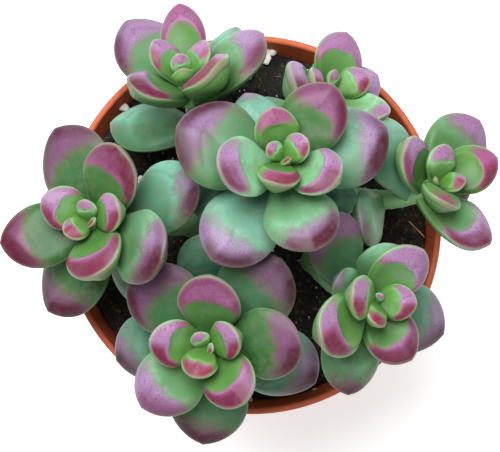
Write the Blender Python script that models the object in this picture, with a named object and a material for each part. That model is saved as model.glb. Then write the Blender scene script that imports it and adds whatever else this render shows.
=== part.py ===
"""A potted sedum: seven leafy stems with fleshy rosettes, in a plastic nursery pot filled with soil.

Metres, +Z up. The origin is the middle of the pot's flat base, on the surface that the pot stands on.
Seen from above, +X is right and +Y is the back of the plant.
"""
from collections import namedtuple
from math import cos, pi, radians, sin

import bmesh
import bpy
import numpy as np
from mathutils import Matrix, Vector

MM = 0.001
UP = Vector((0, 0, 1))

# The pot, a 10.5 cm nursery pot with a collar below its rim
POT_HEIGHT = 88.0 * MM
RIM_RADIUS = 52.5 * MM
WALL = 1.5 * MM
RIM_WALL = 1.7 * MM
LIP_RADIUS = 0.75 * MM
COLLAR_DEPTH = 14.0 * MM
COLLAR_STEP = 1.3 * MM
COLLAR_BEVEL = 0.5 * MM
BASE_RADIUS = 36.5 * MM
BASE_THICKNESS = 2.0 * MM
CORNER_RADIUS = 3.0 * MM
CORNER_EASE = 0.3
POT_SEGMENTS = 48
POT_CREASE = 40.0
DRAIN_HOLES = 8
DRAIN_RADIUS = 3.5 * MM
DRAIN_CIRCLE = 27.0 * MM
DRAIN_SIDES = 12
CUTTER_REACH = 8.0 * MM

# The soil that fills it
CLEARANCE = 0.35 * MM
SOIL_LEVEL = POT_HEIGHT - 7.5 * MM
SOIL_RELIEF = 1.1 * MM
SOIL_RINGS = 7
SOIL_SEGMENTS = 48
ROOT_DEPTH = 18.0 * MM
# Two waves that cross: share of the relief, how tightly it turns, how far and how tightly it wanders
# sideways, and where it starts
SOIL_WAVES = ((0.55, 310.0, 1.3, 190.0, 0.0), (0.45, 270.0, -1.7, 230.0, 1.0))

# The stems: straight up from the soil, then bent over to their crowns
STEM_FOOT_RADIUS = 3.3 * MM
STEM_CROWN_RADIUS = 2.1 * MM
STEM_TIP = 1.0 * MM
STEM_SIDES = 8
STEM_RINGS = 9
STEM_RISE = 0.35
STEM_BEND = 0.4
STEM_FIRST_SHARE = 0.12
STEM_CREASE = 50.0
PATH_STEPS = 200
PATH_STEP = 0.01

# The leaves: how they follow each other down a stem, youngest first, age being a leaf's number
GOLDEN_ANGLE = 137.5
LONGEST_LEAF = 31.0
BUD_LENGTH = 4.5
AGE_AT_TIP = 1.3
AGE_OF_GROWTH = 6.0
GROWTH_POWER = 1.5
UPRIGHT = 64.0
OPENING = 5.0
FLATTEST = 3.0
FIRST_SPACING = 0.6
ADDED_SPACING = 0.055
LEAF_CURL = 26.0
BUD_CURL = 10.0
BUD_LEAVES = 3
LEAF_STATIONS = (0.0, 0.22, 0.45, 0.65, 0.82, 0.94)
LEAF_AROUND = 8
BUD_STATIONS = (0.0, 0.35, 0.75)
BUD_AROUND = 6

# Leaf shape: its width as a share of its length, then outline, and depths as shares of its width
LEAF_WIDTH = 0.74
FOOT_WIDTH = 0.36
WIDEST_AT = 0.62
TIP_POWER = 2.4
TIP_ROUNDNESS = 0.6
UPPER_DEPTH = 0.09
UPPER_FOOT = 0.08
LOWER_DEPTH = 0.12
LOWER_BELLY = 0.09
SHOULDER = 0.55
KEEL = 0.9
DISH = 0.30
CUP = 0.10
MIDLINE_STEPS = 100

# One leafy stem. foot: where it leaves the soil, mm. crown: the middle of its bud, mm, the height being
# above the rim. lean: the bearing that its crown leans to and how far, degrees. hand: +1 where the leaves
# follow each other anticlockwise. first: the bearing of the youngest leaf. size: of the whole rosette.
# nudges: what one leaf does of its own, as extra turn and lift in degrees, share of length, of width and
# how much further down the stem it sits, mm.
LeafyStem = namedtuple("LeafyStem", "name foot crown lean hand first leaves size nudges")
NO_NUDGE = (0, 0, 1, 1, 0)

LEAFY_STEMS = (
    LeafyStem("leafy_stem_back_left", (-6, 17), (-17.3, 35.3, 30), (103, 44), 1, 132.5, 12, 0.95, {
        0: (-20, 20, 2, 0.9, 0),
        1: (10, 20, 1.4, 1, 1.5),
        2: (-12, 0, 1.35, 0.9, 0),
        3: (-38, 12, 1.15, 0.8, 0),
        4: (2, 5, 1.25, 1, 0),
        5: (-7, 0, 1.28, 0.68, 0),
        6: (-25, 15, 0.9, 1, 0),
        7: (10, 0, 1.1, 0.95, 0),
        8: (-25, 0, 1.3, 0.8, 0),
        9: (0, 0, 0.6, 1, 0),
        10: (0, 0, 1.02, 0.72, 0),
        11: (-35, 0, 1.02, 0.8, 6),
    }),
    LeafyStem("leafy_stem_back_right", (12, 20), (21.2, 32.9, 24), (40, 38), 1, 120, 11, 0.85, {
        0: (15, 0, 2, 1, 0),
        2: (-15, 0, 1.35, 1, 0),
        3: (22, 0, 1.2, 1, 0),
        4: (5, 0, 1.28, 0.85, 0),
        5: (-9, 0, 1.1, 1, 0),
        6: (-25, 10, 1.2, 1, 0),
        7: (25, 0, 0.85, 1, 0),
        8: (55, -22, 0.95, 0.9, 3),
        9: (0, 0, 0.7, 1, 0),
        10: (0, 0, 0.9, 1, 0),
    }),
    LeafyStem("leafy_stem_centre", (3, 4), (7.8, 12.2, 52), (95, 15), -1, 309.5, 15, 1.0, {
        1: (-25, 0, 1.1, 1, 0),
        2: (-5, 0, 1, 1, 0),
        3: (0, 5, 1.05, 1, 0),
        4: (-16, 0, 0.88, 1, 0),
        5: (-8, 0, 0.9, 1, 0),
        6: (-12, 5, 0.88, 1.1, 0),
        7: (-10, 0, 1, 0.93, 0),
        8: (-3, 0, 0.97, 1, 0),
        9: (8, 0, 1.05, 1.1, 0),
        10: (8, 0, 1.02, 1, 0),
        11: (-5, 0, 0.98, 0.95, 0),
        12: (11, 0, 0.84, 0.8, 0),
        13: (28, 0, 0.7, 0.75, 3),
        14: (10, 0, 0.75, 1, 3),
    }),
    LeafyStem("leafy_stem_left", (-17, 0), (-41.2, -1.9, 36), (160, 18), 1, -37.5, 14, 1.0, {
        1: (-10, 0, 1.2, 1, 0),
        2: (-17, 0, 0.93, 1, 0),
        3: (-2, -5, 1, 1, 0),
        4: (0, 0, 0.9, 1, 0),
        5: (0, 5, 1, 1.1, 0),
        6: (-8, 0, 1.1, 1.1, 0),
        7: (-14, 0, 1.1, 0.86, 0),
        8: (-7, 4, 1.1, 0.9, 0),
        9: (-3, 0, 1.06, 1, 0),
        10: (-27, 0, 1, 1, 0),
        11: (-12, 0, 1.03, 0.83, 0),
        12: (-8, 0, 1, 1, 0),
        13: (-44, 0, 0.65, 1, 2),
    }),
    LeafyStem("leafy_stem_right", (24, 8), (48.0, 8.4, 30), (38, 38), 1, 200, 12, 0.9, {
        1: (0, 0, 1.5, 1, 0),
        2: (-15, 0, 1.25, 1.1, 0),
        3: (-3, 0, 1.1, 1.15, 0),
        4: (-7, 0, 1.25, 0.9, 0),
        5: (-23, 0, 1, 1, 2),
        6: (6, 0, 1.12, 0.95, 2),
        7: (-28, 0, 1.15, 1, 0),
        8: (-15, 10, 0.9, 1, 14),
        9: (20, 0, 0.75, 1, 0),
        10: (-3, 0, 0.92, 1.1, 0),
        11: (-45, -5, 0.56, 1, 9),
    }),
    LeafyStem("leafy_stem_front", (-6, -15), (-11.4, -34.1, 38), (200, 10), 1, -20, 15, 0.98, {
        1: (0, 0, 1.1, 1, 0),
        2: (0, 0, 1.1, 1.15, 0),
        3: (-10, 0, 1, 1, 0),
        8: (4, 0, 1, 1, 0),
        9: (0, -7, 1, 1, 0),
        10: (-12, 0, 1.03, 1, 0),
        11: (-3, 0, 1, 1, 0),
        12: (10, 0, 1, 1, 0),
        14: (-5, 0, 0.85, 0.9, 3),
    }),
    LeafyStem("leafy_stem_front_right", (17, -10), (31.2, -22.3, 32), (355, 30), -1, 60, 12, 0.92, {
        1: (-40, -5, 1.7, 1, 0),
        2: (25, -10, 1.5, 1.1, 0),
        3: (-8, 0, 1, 1, 0),
        4: (-23, -15, 1.45, 0.95, 0),
        5: (-38, 0, 1.1, 1, 0),
        6: (-12, 0, 0.97, 1, 0),
        7: (-30, 0, 0.6, 1, 0),
        8: (16, 8, 0.8, 1, 4),
        9: (0, 0, 1, 1, 0),
        10: (-8, 0, 1, 0.85, 0),
        11: (-11, 0, 1.2, 0.85, 0),
    }),
)

# Material colours: linear red, green, blue, then roughness
TERRACOTTA_PLASTIC = ("terracotta_plastic", (0.56, 0.14, 0.06), 0.5)
POTTING_SOIL = ("potting_soil", (0.02, 0.013, 0.009), 0.95)
LEAF_COLOUR = (0.20, 0.42, 0.22)
LEAF_ROUGHNESS = 0.45


def clear_scene():
    for thing in list(bpy.data.objects):
        bpy.data.objects.remove(thing)


def leaf_skin(stem):
    return (stem.name + "_skin", LEAF_COLOUR, LEAF_ROUGHNESS)


def material(name, colour, roughness):
    made = bpy.data.materials.get(name)
    if made:
        return made
    made = bpy.data.materials.new(name)
    made.use_nodes = True
    shader = made.node_tree.nodes["Principled BSDF"]
    shader.inputs["Base Color"].default_value = (*colour, 1.0)
    shader.inputs["Roughness"].default_value = roughness
    shader.inputs["Metallic"].default_value = 0.0
    return made


def mesh_object(name, points, faces, finish):
    """A new object from points and faces, its faces flat and turned outwards."""
    mesh = bpy.data.meshes.new(name)
    mesh.from_pydata([tuple(point) for point in points], [], [tuple(face) for face in faces])
    shape = bmesh.new()
    shape.from_mesh(mesh)
    bmesh.ops.triangulate(shape, faces=shape.faces)
    bmesh.ops.recalc_face_normals(shape, faces=shape.faces)
    shape.to_mesh(mesh)
    shape.free()
    mesh.materials.append(material(*finish))
    thing = bpy.data.objects.new(name, mesh)
    bpy.context.scene.collection.objects.link(thing)
    return thing


def ring_faces(rings, around, first_pole, last_pole):
    """Faces of a skin of rings, numbered one after another, closed by a pole point at each end."""
    faces = []
    for ring in range(rings - 1):
        for i in range(around):
            j = (i + 1) % around
            low = ring * around
            faces.append((low + i, low + j, low + around + j, low + around + i))
    last = (rings - 1) * around
    for i in range(around):
        j = (i + 1) % around
        faces.append((first_pole, j, i))
        faces.append((last_pole, last + i, last + j))
    return faces


def circle(radius, height, segments, offset=0.0):
    """Points of a level ring, its first one offset by a share of a segment."""
    turns = [2 * pi * (i + offset) / segments for i in range(segments)]
    return [(radius * cos(turn), radius * sin(turn), height) for turn in turns]


def lathe(name, profile, segments, finish):
    """A profile of (radius, height), from the axis round to the axis, turned about Z."""
    points = []
    for radius, height in profile[1:-1]:
        points += circle(radius, height, segments)
    points.append((0.0, 0.0, profile[0][1]))
    points.append((0.0, 0.0, profile[-1][1]))
    rings = len(profile) - 2
    faces = ring_faces(rings, segments, rings * segments, rings * segments + 1)
    return mesh_object(name, points, faces, finish)


def boolean(thing, operation, others):
    """Cut the others out of a thing, or join them to it, and remove them."""
    group = bpy.data.collections.new("group")
    bpy.context.scene.collection.children.link(group)
    for other in others:
        group.objects.link(other)
    step = thing.modifiers.new("step", "BOOLEAN")
    step.operand_type = "COLLECTION"
    step.collection = group
    step.operation = operation
    step.solver = "EXACT"
    step.use_self = operation == "UNION"
    bpy.context.view_layer.update()
    shaped = thing.evaluated_get(bpy.context.evaluated_depsgraph_get())
    joined = bpy.data.meshes.new_from_object(shaped)
    thing.modifiers.clear()
    thing.data = joined
    for other in others:
        bpy.data.objects.remove(other)
    bpy.data.collections.remove(group)


def connected_faces(start, unseen):
    """Every face that shared edges link to a first one, taken out of the unseen ones."""
    unseen.remove(start)
    found = [start]
    for face in found:
        for edge in face.edges:
            for other in edge.link_faces:
                if other in unseen:
                    unseen.remove(other)
                    found.append(other)
    return found


def keep_outer_skin(thing):
    """Fill the sealed hollows between crowded leaf feet: only the largest skin stays."""
    shape = bmesh.new()
    shape.from_mesh(thing.data)
    unseen = set(shape.faces)
    skins = []
    for face in shape.faces:
        if face in unseen:
            skins.append(connected_faces(face, unseen))
    skins.sort(key=len)
    hollows = [face for skin in skins[:-1] for face in skin]
    bmesh.ops.delete(shape, geom=hollows, context="FACES")
    shape.to_mesh(thing.data)
    shape.free()


def pot_outer_radius(height):
    """Outer radius of the pot's tapered wall at a height, as if it had no collar."""
    top = RIM_RADIUS - COLLAR_STEP
    return BASE_RADIUS + (top - BASE_RADIUS) * height / POT_HEIGHT


def pot_inner_radius(height):
    """Inner radius of the pot's wall at a height, the collar included."""
    collar = POT_HEIGHT - COLLAR_DEPTH
    foot = BASE_THICKNESS + CORNER_RADIUS
    heights = (foot, collar, POT_HEIGHT - 2 * LIP_RADIUS)
    radii = (pot_outer_radius(CORNER_RADIUS) - WALL, pot_outer_radius(collar) - WALL, RIM_RADIUS - RIM_WALL)
    return float(np.interp(height, heights, radii))


def pot_profile():
    """Half the pot's section as (radius, height): up the outside, over the lip and down the inside."""
    collar = POT_HEIGHT - COLLAR_DEPTH
    foot = BASE_THICKNESS + CORNER_RADIUS
    ease = CORNER_EASE * CORNER_RADIUS
    lip = CORNER_EASE * LIP_RADIUS
    return [
        (0.0, 0.0),
        (pot_outer_radius(0) - CORNER_RADIUS, 0.0),
        (pot_outer_radius(CORNER_RADIUS) - ease, ease),
        (pot_outer_radius(CORNER_RADIUS), CORNER_RADIUS),
        (pot_outer_radius(collar), collar),
        (RIM_RADIUS - COLLAR_BEVEL, collar + COLLAR_BEVEL),
        (RIM_RADIUS, POT_HEIGHT - LIP_RADIUS),
        (RIM_RADIUS - lip, POT_HEIGHT - lip),
        (RIM_RADIUS - LIP_RADIUS, POT_HEIGHT),
        (RIM_RADIUS - RIM_WALL, POT_HEIGHT - lip),
        (RIM_RADIUS - RIM_WALL, POT_HEIGHT - 2 * LIP_RADIUS),
        (pot_inner_radius(collar), collar),
        (pot_inner_radius(foot), foot),
        (pot_inner_radius(foot) - CORNER_RADIUS, BASE_THICKNESS),
        (0.0, BASE_THICKNESS),
    ]


def drain_cutter(bearing):
    profile = [(0, -CUTTER_REACH), (DRAIN_RADIUS, -CUTTER_REACH), (DRAIN_RADIUS, CUTTER_REACH), (0, CUTTER_REACH)]
    cutter = lathe("drain_cutter", profile, DRAIN_SIDES, TERRACOTTA_PLASTIC)
    cutter.location = (DRAIN_CIRCLE * cos(bearing), DRAIN_CIRCLE * sin(bearing), 0)
    return cutter


def make_pot():
    pot = lathe("pot", pot_profile(), POT_SEGMENTS, TERRACOTTA_PLASTIC)
    boolean(pot, "DIFFERENCE", [drain_cutter(2 * pi * i / DRAIN_HOLES) for i in range(DRAIN_HOLES)])
    pot.data.shade_smooth()
    pot.data.set_sharp_from_angle(angle=radians(POT_CREASE))


def soil_height(x, y):
    """The lumpy top of the soil: two waves that cross, each wandering sideways."""
    height = SOIL_LEVEL
    places = ((x, y), (y, x))
    for (share, tight, far, wander, start), (along, aside) in zip(SOIL_WAVES, places):
        height += SOIL_RELIEF * share * sin(tight * along + far * sin(wander * aside) + start)
    return height


def soil_top():
    """Rings of points from the middle of the soil's top out to the pot's wall."""
    radius = pot_inner_radius(SOIL_LEVEL - SOIL_RELIEF) - CLEARANCE
    points = []
    for ring in range(1, SOIL_RINGS + 1):
        offset = 0.5 * ((SOIL_RINGS - ring) % 2)
        for x, y, _ in circle(radius * ring / SOIL_RINGS, 0, SOIL_SEGMENTS, offset):
            points.append((x, y, soil_height(x, y)))
    return points


def soil_side():
    """Rings of points down the pot's wall to its floor."""
    collar = POT_HEIGHT - COLLAR_DEPTH
    foot = BASE_THICKNESS + CORNER_RADIUS
    below = BASE_THICKNESS + CLEARANCE
    points = circle(pot_inner_radius(collar) - CLEARANCE, collar, SOIL_SEGMENTS)
    points += circle(pot_inner_radius(foot) - CLEARANCE, foot + CLEARANCE, SOIL_SEGMENTS)
    points += circle(pot_inner_radius(foot) - CORNER_RADIUS - CLEARANCE, below, SOIL_SEGMENTS)
    return points


def root_hole_cutter(stem):
    """A plain round hole for the buried end of a stem."""
    radius = STEM_FOOT_RADIUS + CLEARANCE
    x, y = stem.foot
    low = SOIL_LEVEL - ROOT_DEPTH - CLEARANCE
    high = SOIL_LEVEL + CUTTER_REACH
    profile = [(0, low), (radius, low), (radius, high), (0, high)]
    cutter = lathe("root_hole_cutter", profile, STEM_SIDES, POTTING_SOIL)
    cutter.location = (x * MM, y * MM, 0)
    return cutter


def make_soil():
    points = soil_top() + soil_side()
    rings = len(points) // SOIL_SEGMENTS
    points.append((0, 0, soil_height(0, 0)))
    points.append((0, 0, BASE_THICKNESS + CLEARANCE))
    faces = ring_faces(rings, SOIL_SEGMENTS, rings * SOIL_SEGMENTS, rings * SOIL_SEGMENTS + 1)
    soil = mesh_object("soil", points, faces, POTTING_SOIL)
    boolean(soil, "DIFFERENCE", [root_hole_cutter(stem) for stem in LEAFY_STEMS])


def bearing_vector(bearing, climb=0.0):
    turn = radians(bearing)
    rise = radians(climb)
    return Vector((cos(turn) * cos(rise), sin(turn) * cos(rise), sin(rise)))


def foot_point(stem, height=SOIL_LEVEL):
    x, y = stem.foot
    return Vector((x * MM, y * MM, height))


def crown_point(stem):
    x, y, above_rim = stem.crown
    return Vector((x * MM, y * MM, POT_HEIGHT + above_rim * MM))


def crown_axis(stem):
    bearing, tilt = stem.lean
    return bearing_vector(bearing, 90 - tilt)


def stem_path(stem, share):
    """A point on the stem's bent centre line, from 0 at the soil to 1 at the crown."""
    foot = foot_point(stem)
    crown = crown_point(stem)
    span = (crown - foot).length
    low = foot + STEM_RISE * span * UP
    high = crown - STEM_BEND * span * crown_axis(stem)
    rest = 1 - share
    return foot * rest**3 + 3 * low * share * rest**2 + 3 * high * share**2 * rest + crown * share**3


def path_direction(stem, share):
    after = min(share + PATH_STEP, 1.0)
    return (stem_path(stem, after) - stem_path(stem, after - 2 * PATH_STEP)).normalized()


def path_from_crown(stem, distance):
    """The share of the path at a distance down from the crown, measured along the stem."""
    here = stem_path(stem, 1.0)
    walked = 0.0
    for i in range(PATH_STEPS - 1, -1, -1):
        below = stem_path(stem, i / PATH_STEPS)
        walked += (here - below).length
        if walked >= distance:
            return i / PATH_STEPS
        here = below
    return 0.0


def stem_ring(middle, radius, along):
    """A ring of points round a middle, square to the stem's direction there."""
    turn = UP.rotation_difference(along).to_matrix()
    return [middle + turn @ Vector(point) for point in circle(radius, 0, STEM_SIDES)]


def make_stem(stem):
    """A tapered stem, straight in its hole and then bent to its crown, with a blunt point at each end."""
    buried = SOIL_LEVEL - ROOT_DEPTH
    points = stem_ring(foot_point(stem, buried + STEM_TIP), STEM_FOOT_RADIUS, UP)
    points += stem_ring(foot_point(stem, SOIL_LEVEL + SOIL_RELIEF), STEM_FOOT_RADIUS, UP)
    for i in range(STEM_RINGS):
        share = STEM_FIRST_SHARE + (1 - STEM_FIRST_SHARE) * i / (STEM_RINGS - 1)
        radius = STEM_FOOT_RADIUS + (STEM_CROWN_RADIUS - STEM_FOOT_RADIUS) * share
        points += stem_ring(stem_path(stem, share), radius, path_direction(stem, share))
    count = len(points)
    points.append(foot_point(stem, buried))
    points.append(crown_point(stem) + crown_axis(stem) * STEM_TIP)
    faces = ring_faces(count // STEM_SIDES, STEM_SIDES, count, count + 1)
    return mesh_object(stem.name, points, faces, leaf_skin(stem))


def leaf_outline(along):
    """Half the leaf's width at a share of its length: a narrow foot, a broad end and a blunt point."""
    grown = np.clip(along / WIDEST_AT, 0, 1)
    swell = FOOT_WIDTH + (1 - FOOT_WIDTH) * grown * grown * (3 - 2 * grown)
    past = np.clip((along - WIDEST_AT) / (1 - WIDEST_AT), 0, 1)
    return swell * (1 - past**TIP_POWER) ** TIP_ROUNDNESS


def leaf_midline(length, lift, curl):
    """Shares along the leaf, how far out and how high its midline is there, and its slope."""
    along = np.linspace(0, 1, MIDLINE_STEPS + 1)
    slope = np.radians(lift + curl * (along - 0.5))
    out = np.concatenate([[0], np.cumsum(np.cos(slope[:-1]))]) / MIDLINE_STEPS * length
    high = np.concatenate([[0], np.cumsum(np.sin(slope[:-1]))]) / MIDLINE_STEPS * length
    return along, out, high, slope


def leaf_section(along, around, width):
    """Where the skin is at each station: across the leaf, and above its midline.

    The upper side is a shallow dish between two shoulders, the lower side is rounded with a keel, and
    the edges are cupped up.
    """
    angle = 2 * pi * np.arange(around) / around
    side = np.cos(angle)[None, :]
    top = np.sin(angle)[None, :]
    across = np.sign(side) * np.abs(side) ** np.where(top >= 0, SHOULDER, KEEL)
    upper = width * (UPPER_DEPTH + UPPER_FOOT * (1 - along) ** 2) * np.sqrt(1 - along**8)
    lower = width * (LOWER_DEPTH + LOWER_BELLY * np.sin(pi * along)) * (1 - along**6) ** TIP_ROUNDNESS
    above = upper[:, None] * np.abs(top) ** TIP_ROUNDNESS * (1 - DISH * (1 - across**2))
    below = -lower[:, None] * np.abs(top) ** KEEL
    cup = CUP * width * across**2 * np.sin(pi * along)[:, None]
    half_width = 0.5 * width * leaf_outline(along)[:, None]
    return half_width * across, np.where(top >= 0, above, below) + cup


def leaf_points(length, width, lift, curl, stations, around):
    """Points of a fleshy leaf: X away from the stem, Y across the leaf, Z towards the crown."""
    along = np.array(stations)
    fine, out, high, slope = leaf_midline(length, lift, curl)
    middle_x = np.interp(along, fine, out)[:, None]
    middle_z = np.interp(along, fine, high)[:, None]
    pitch = np.interp(along, fine, slope)[:, None]
    across, height = leaf_section(along, around, width)
    x = middle_x - height * np.sin(pitch)
    z = middle_z + height * np.cos(pitch)
    skin = np.stack([x, across, z], axis=-1).reshape(-1, 3)
    ends = np.array([[0, 0, 0], [out[-1], 0, high[-1]]])
    return np.concatenate([skin, ends])


def leaf_placing(stem, age):
    """How leaf number age grows: bearing, lift, length and width, and how far down the stem it sits."""
    turn, lift, longer, wider, lower = stem.nudges.get(age, NO_NUDGE)
    bearing = stem.first + stem.hand * GOLDEN_ANGLE * age + turn
    grown = 1 - np.exp(-(((age + AGE_AT_TIP) / AGE_OF_GROWTH) ** GROWTH_POWER))
    length = max(LONGEST_LEAF * grown, BUD_LENGTH) * stem.size * longer
    lift += max(UPRIGHT - OPENING * age, FLATTEST)
    down = (FIRST_SPACING * age + ADDED_SPACING * age * age) * stem.size + lower
    return bearing, lift, length, length * LEAF_WIDTH * wider, down


def make_leaf(stem, age):
    bearing, lift, length, width, down = leaf_placing(stem, age)
    share = path_from_crown(stem, down * MM)
    axis = path_direction(stem, share)
    outward = UP.rotation_difference(axis).to_matrix() @ bearing_vector(bearing)
    frame = np.array(Matrix((outward, axis.cross(outward), axis)))
    bud = age < BUD_LEAVES
    stations = BUD_STATIONS if bud else LEAF_STATIONS
    around = BUD_AROUND if bud else LEAF_AROUND
    curl = BUD_CURL if bud else LEAF_CURL
    points = leaf_points(length * MM, width * MM, lift, curl, stations, around)
    points = points @ frame + np.array(stem_path(stem, share))
    count = len(stations) * around
    faces = ring_faces(len(stations), around, count, count + 1)
    return mesh_object(f"leaf_{age}", points, faces, leaf_skin(stem))


def leaves_of(stem):
    return [make_leaf(stem, age) for age in range(stem.leaves)]


def make_leafy_stem(stem):
    leafy = make_stem(stem)
    boolean(leafy, "UNION", leaves_of(stem))
    keep_outer_skin(leafy)
    leafy.data.shade_smooth()
    leafy.data.set_sharp_from_angle(angle=radians(STEM_CREASE))


def main():
    clear_scene()
    make_pot()
    make_soil()
    for stem in LEAFY_STEMS:
        make_leafy_stem(stem)


main()
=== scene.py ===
# %% [markdown]
# # A potted sedum, seen from above
# Seven leafy stems grow from dark potting soil in a terracotta-coloured nursery pot. This lesson dresses
# the plain model of that plant: each leaf gets its bevelled edges, waxy skin and pink blush, the soil its
# crumbs and white grains, and the pot its rounded lip. Lengths are in metres and +Z is up. The origin is
# the middle of the pot's base.

# %% Load the plain model
from collections import namedtuple
from math import cos, pi, radians, sin

import bpy
import numpy as np
from mathutils import Matrix, Vector


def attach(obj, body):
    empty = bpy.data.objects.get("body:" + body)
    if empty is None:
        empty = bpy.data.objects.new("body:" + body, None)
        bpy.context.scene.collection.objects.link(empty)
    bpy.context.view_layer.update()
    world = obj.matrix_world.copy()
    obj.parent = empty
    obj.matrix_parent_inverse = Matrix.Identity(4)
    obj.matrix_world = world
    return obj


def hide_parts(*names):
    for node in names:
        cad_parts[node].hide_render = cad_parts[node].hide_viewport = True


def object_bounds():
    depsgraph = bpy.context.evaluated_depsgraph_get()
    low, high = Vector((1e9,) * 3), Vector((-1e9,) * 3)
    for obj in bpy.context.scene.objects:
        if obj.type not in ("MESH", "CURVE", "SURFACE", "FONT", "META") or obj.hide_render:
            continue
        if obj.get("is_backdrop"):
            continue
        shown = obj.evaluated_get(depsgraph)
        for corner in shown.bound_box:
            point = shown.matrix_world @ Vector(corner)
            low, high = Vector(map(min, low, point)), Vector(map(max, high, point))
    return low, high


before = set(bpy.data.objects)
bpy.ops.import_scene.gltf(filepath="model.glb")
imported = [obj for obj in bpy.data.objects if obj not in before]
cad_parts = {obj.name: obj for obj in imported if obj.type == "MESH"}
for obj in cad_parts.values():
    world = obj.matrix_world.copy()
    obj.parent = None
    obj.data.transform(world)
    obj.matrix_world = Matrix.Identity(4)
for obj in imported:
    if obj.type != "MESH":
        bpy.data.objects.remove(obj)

MM = 0.001
plain_box = [list(corner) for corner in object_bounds()]
print("plain model, lowest and highest corner:", plain_box)

# %% [markdown]
# ## The camera
# The photograph looks almost straight down, tipped 4 degrees so that it comes a little from the front. The
# rim's width in the picture gives the scale, and how fast things grow towards the lens gives a distance of
# about half a metre. A long lens from there keeps the picture's calm perspective. The middle of the rim
# isn't quite the middle of the picture, so the lens is shifted by those few pixels.

# %% Camera
POT_HEIGHT = 88.0 * MM
IMAGE_WIDTH = 500
IMAGE_HEIGHT = 452
RIM_MIDDLE = (251.6, 223.5)
VIEW_ELEVATION = 86.0
VIEW_DISTANCE = 0.520
FOCAL_PIXELS = 1882.0
SENSOR_WIDTH = 36.0

scene = bpy.context.scene
camera_data = bpy.data.cameras.new("camera")
camera_data.sensor_width = SENSOR_WIDTH
camera_data.lens = SENSOR_WIDTH * FOCAL_PIXELS / IMAGE_WIDTH
camera_data.shift_x = (IMAGE_WIDTH / 2 - RIM_MIDDLE[0]) / IMAGE_WIDTH
camera_data.shift_y = (RIM_MIDDLE[1] - IMAGE_HEIGHT / 2) / IMAGE_WIDTH
camera = bpy.data.objects.new("camera", camera_data)
tilt = radians(90 - VIEW_ELEVATION)
camera.location = (0, -VIEW_DISTANCE * sin(tilt), POT_HEIGHT + VIEW_DISTANCE * cos(tilt))
camera.rotation_euler = (tilt, 0, 0)
scene.collection.objects.link(camera)
scene.camera = camera
print(f"camera {camera.location.z:.3f} m up, lens {camera_data.lens:.0f} mm")

# %% [markdown]
# ## The light
# The picture was taken under a very large soft light, nearly overhead and a little to the upper left:
# whatever faces up has a broad pale bluish sheen, and shadows between the leaves stay soft. One big area
# light stands for it, a weak one fills the other side, and a white world lights the rest.

# %% Light
WORLD_STRENGTH = 0.22
WINDOW = ("window", (-0.18, 0.37, 1.06), 0.70, 18.7)
FILL = ("fill", (0.40, -0.70, 0.75), 0.60, 2.0)
DAYLIGHT = (0.90, 0.96, 1.0)

scene.world = bpy.data.worlds.new("white_room")
scene.world.use_nodes = True
surroundings = scene.world.node_tree.nodes["Background"].inputs
surroundings["Color"].default_value = (1, 1, 1, 1)
surroundings["Strength"].default_value = WORLD_STRENGTH
scene.view_settings.view_transform = "Standard"
scene.view_settings.look = "None"


def area_light(name, place, size, power):
    """A square light at a place, turned towards the middle of the pot's rim."""
    data = bpy.data.lights.new(name, "AREA")
    data.size = size
    data.energy = power
    data.color = DAYLIGHT
    light = bpy.data.objects.new(name, data)
    light.location = place
    aim = Vector((0, 0, POT_HEIGHT)) - Vector(place)
    light.rotation_euler = aim.to_track_quat("-Z", "Y").to_euler()
    scene.collection.objects.link(light)
    print(f"light {name}: {aim.length:.2f} m from the rim's middle")


for lamp in (WINDOW, FILL):
    area_light(*lamp)

# %% [markdown]
# ## Meshes from arrays
# Almost every surface here is a grid: rings of points, one after another, with the first point of a ring
# joined to its last. The same few lines turn any such grid into a closed mesh, with a single pole point
# where it starts and where it ends. Numbers that a material needs, such as how pink the skin is, are kept
# with the points as attributes.

# %% Grids and meshes
def ring_faces(rings, around):
    """Corners of the quads between rings of points, and of the triangles to a pole at each end.

    The points are numbered ring by ring, then the first pole, then the last. The faces look outwards where
    a ring runs anticlockwise, seen from the last pole. The second list says how many corners each face has.
    """
    low = np.arange(rings - 1)[:, None] * around
    i = np.arange(around)
    j = (i + 1) % around
    quads = np.stack([low + i, low + j, low + around + j, low + around + i], axis=-1).reshape(-1, 4)
    first = rings * around
    last = (rings - 1) * around
    foot = np.stack([np.full(around, first), j, i], axis=-1)
    tip = np.stack([np.full(around, first + 1), last + i, last + j], axis=-1)
    corners = np.concatenate([quads.ravel(), foot.ravel(), tip.ravel()])
    return corners, np.concatenate([np.full(len(quads), 4), np.full(2 * around, 3)])


def closed_skin(grid, first_pole, last_pole):
    """Points and faces of one closed skin, from a grid of (ring, around, xyz) and its two poles."""
    points = np.concatenate([grid.reshape(-1, 3), [first_pole], [last_pole]])
    return (points, *ring_faces(*grid.shape[:2]))


def joined(skins):
    """Several closed skins as one: their points one after another and their corners counted on."""
    offsets = np.cumsum([0] + [len(skin[0]) for skin in skins[:-1]])
    corners = [skin[1] + offset for skin, offset in zip(skins, offsets)]
    return (np.concatenate([skin[0] for skin in skins]), np.concatenate(corners),
            np.concatenate([skin[2] for skin in skins]))


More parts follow.
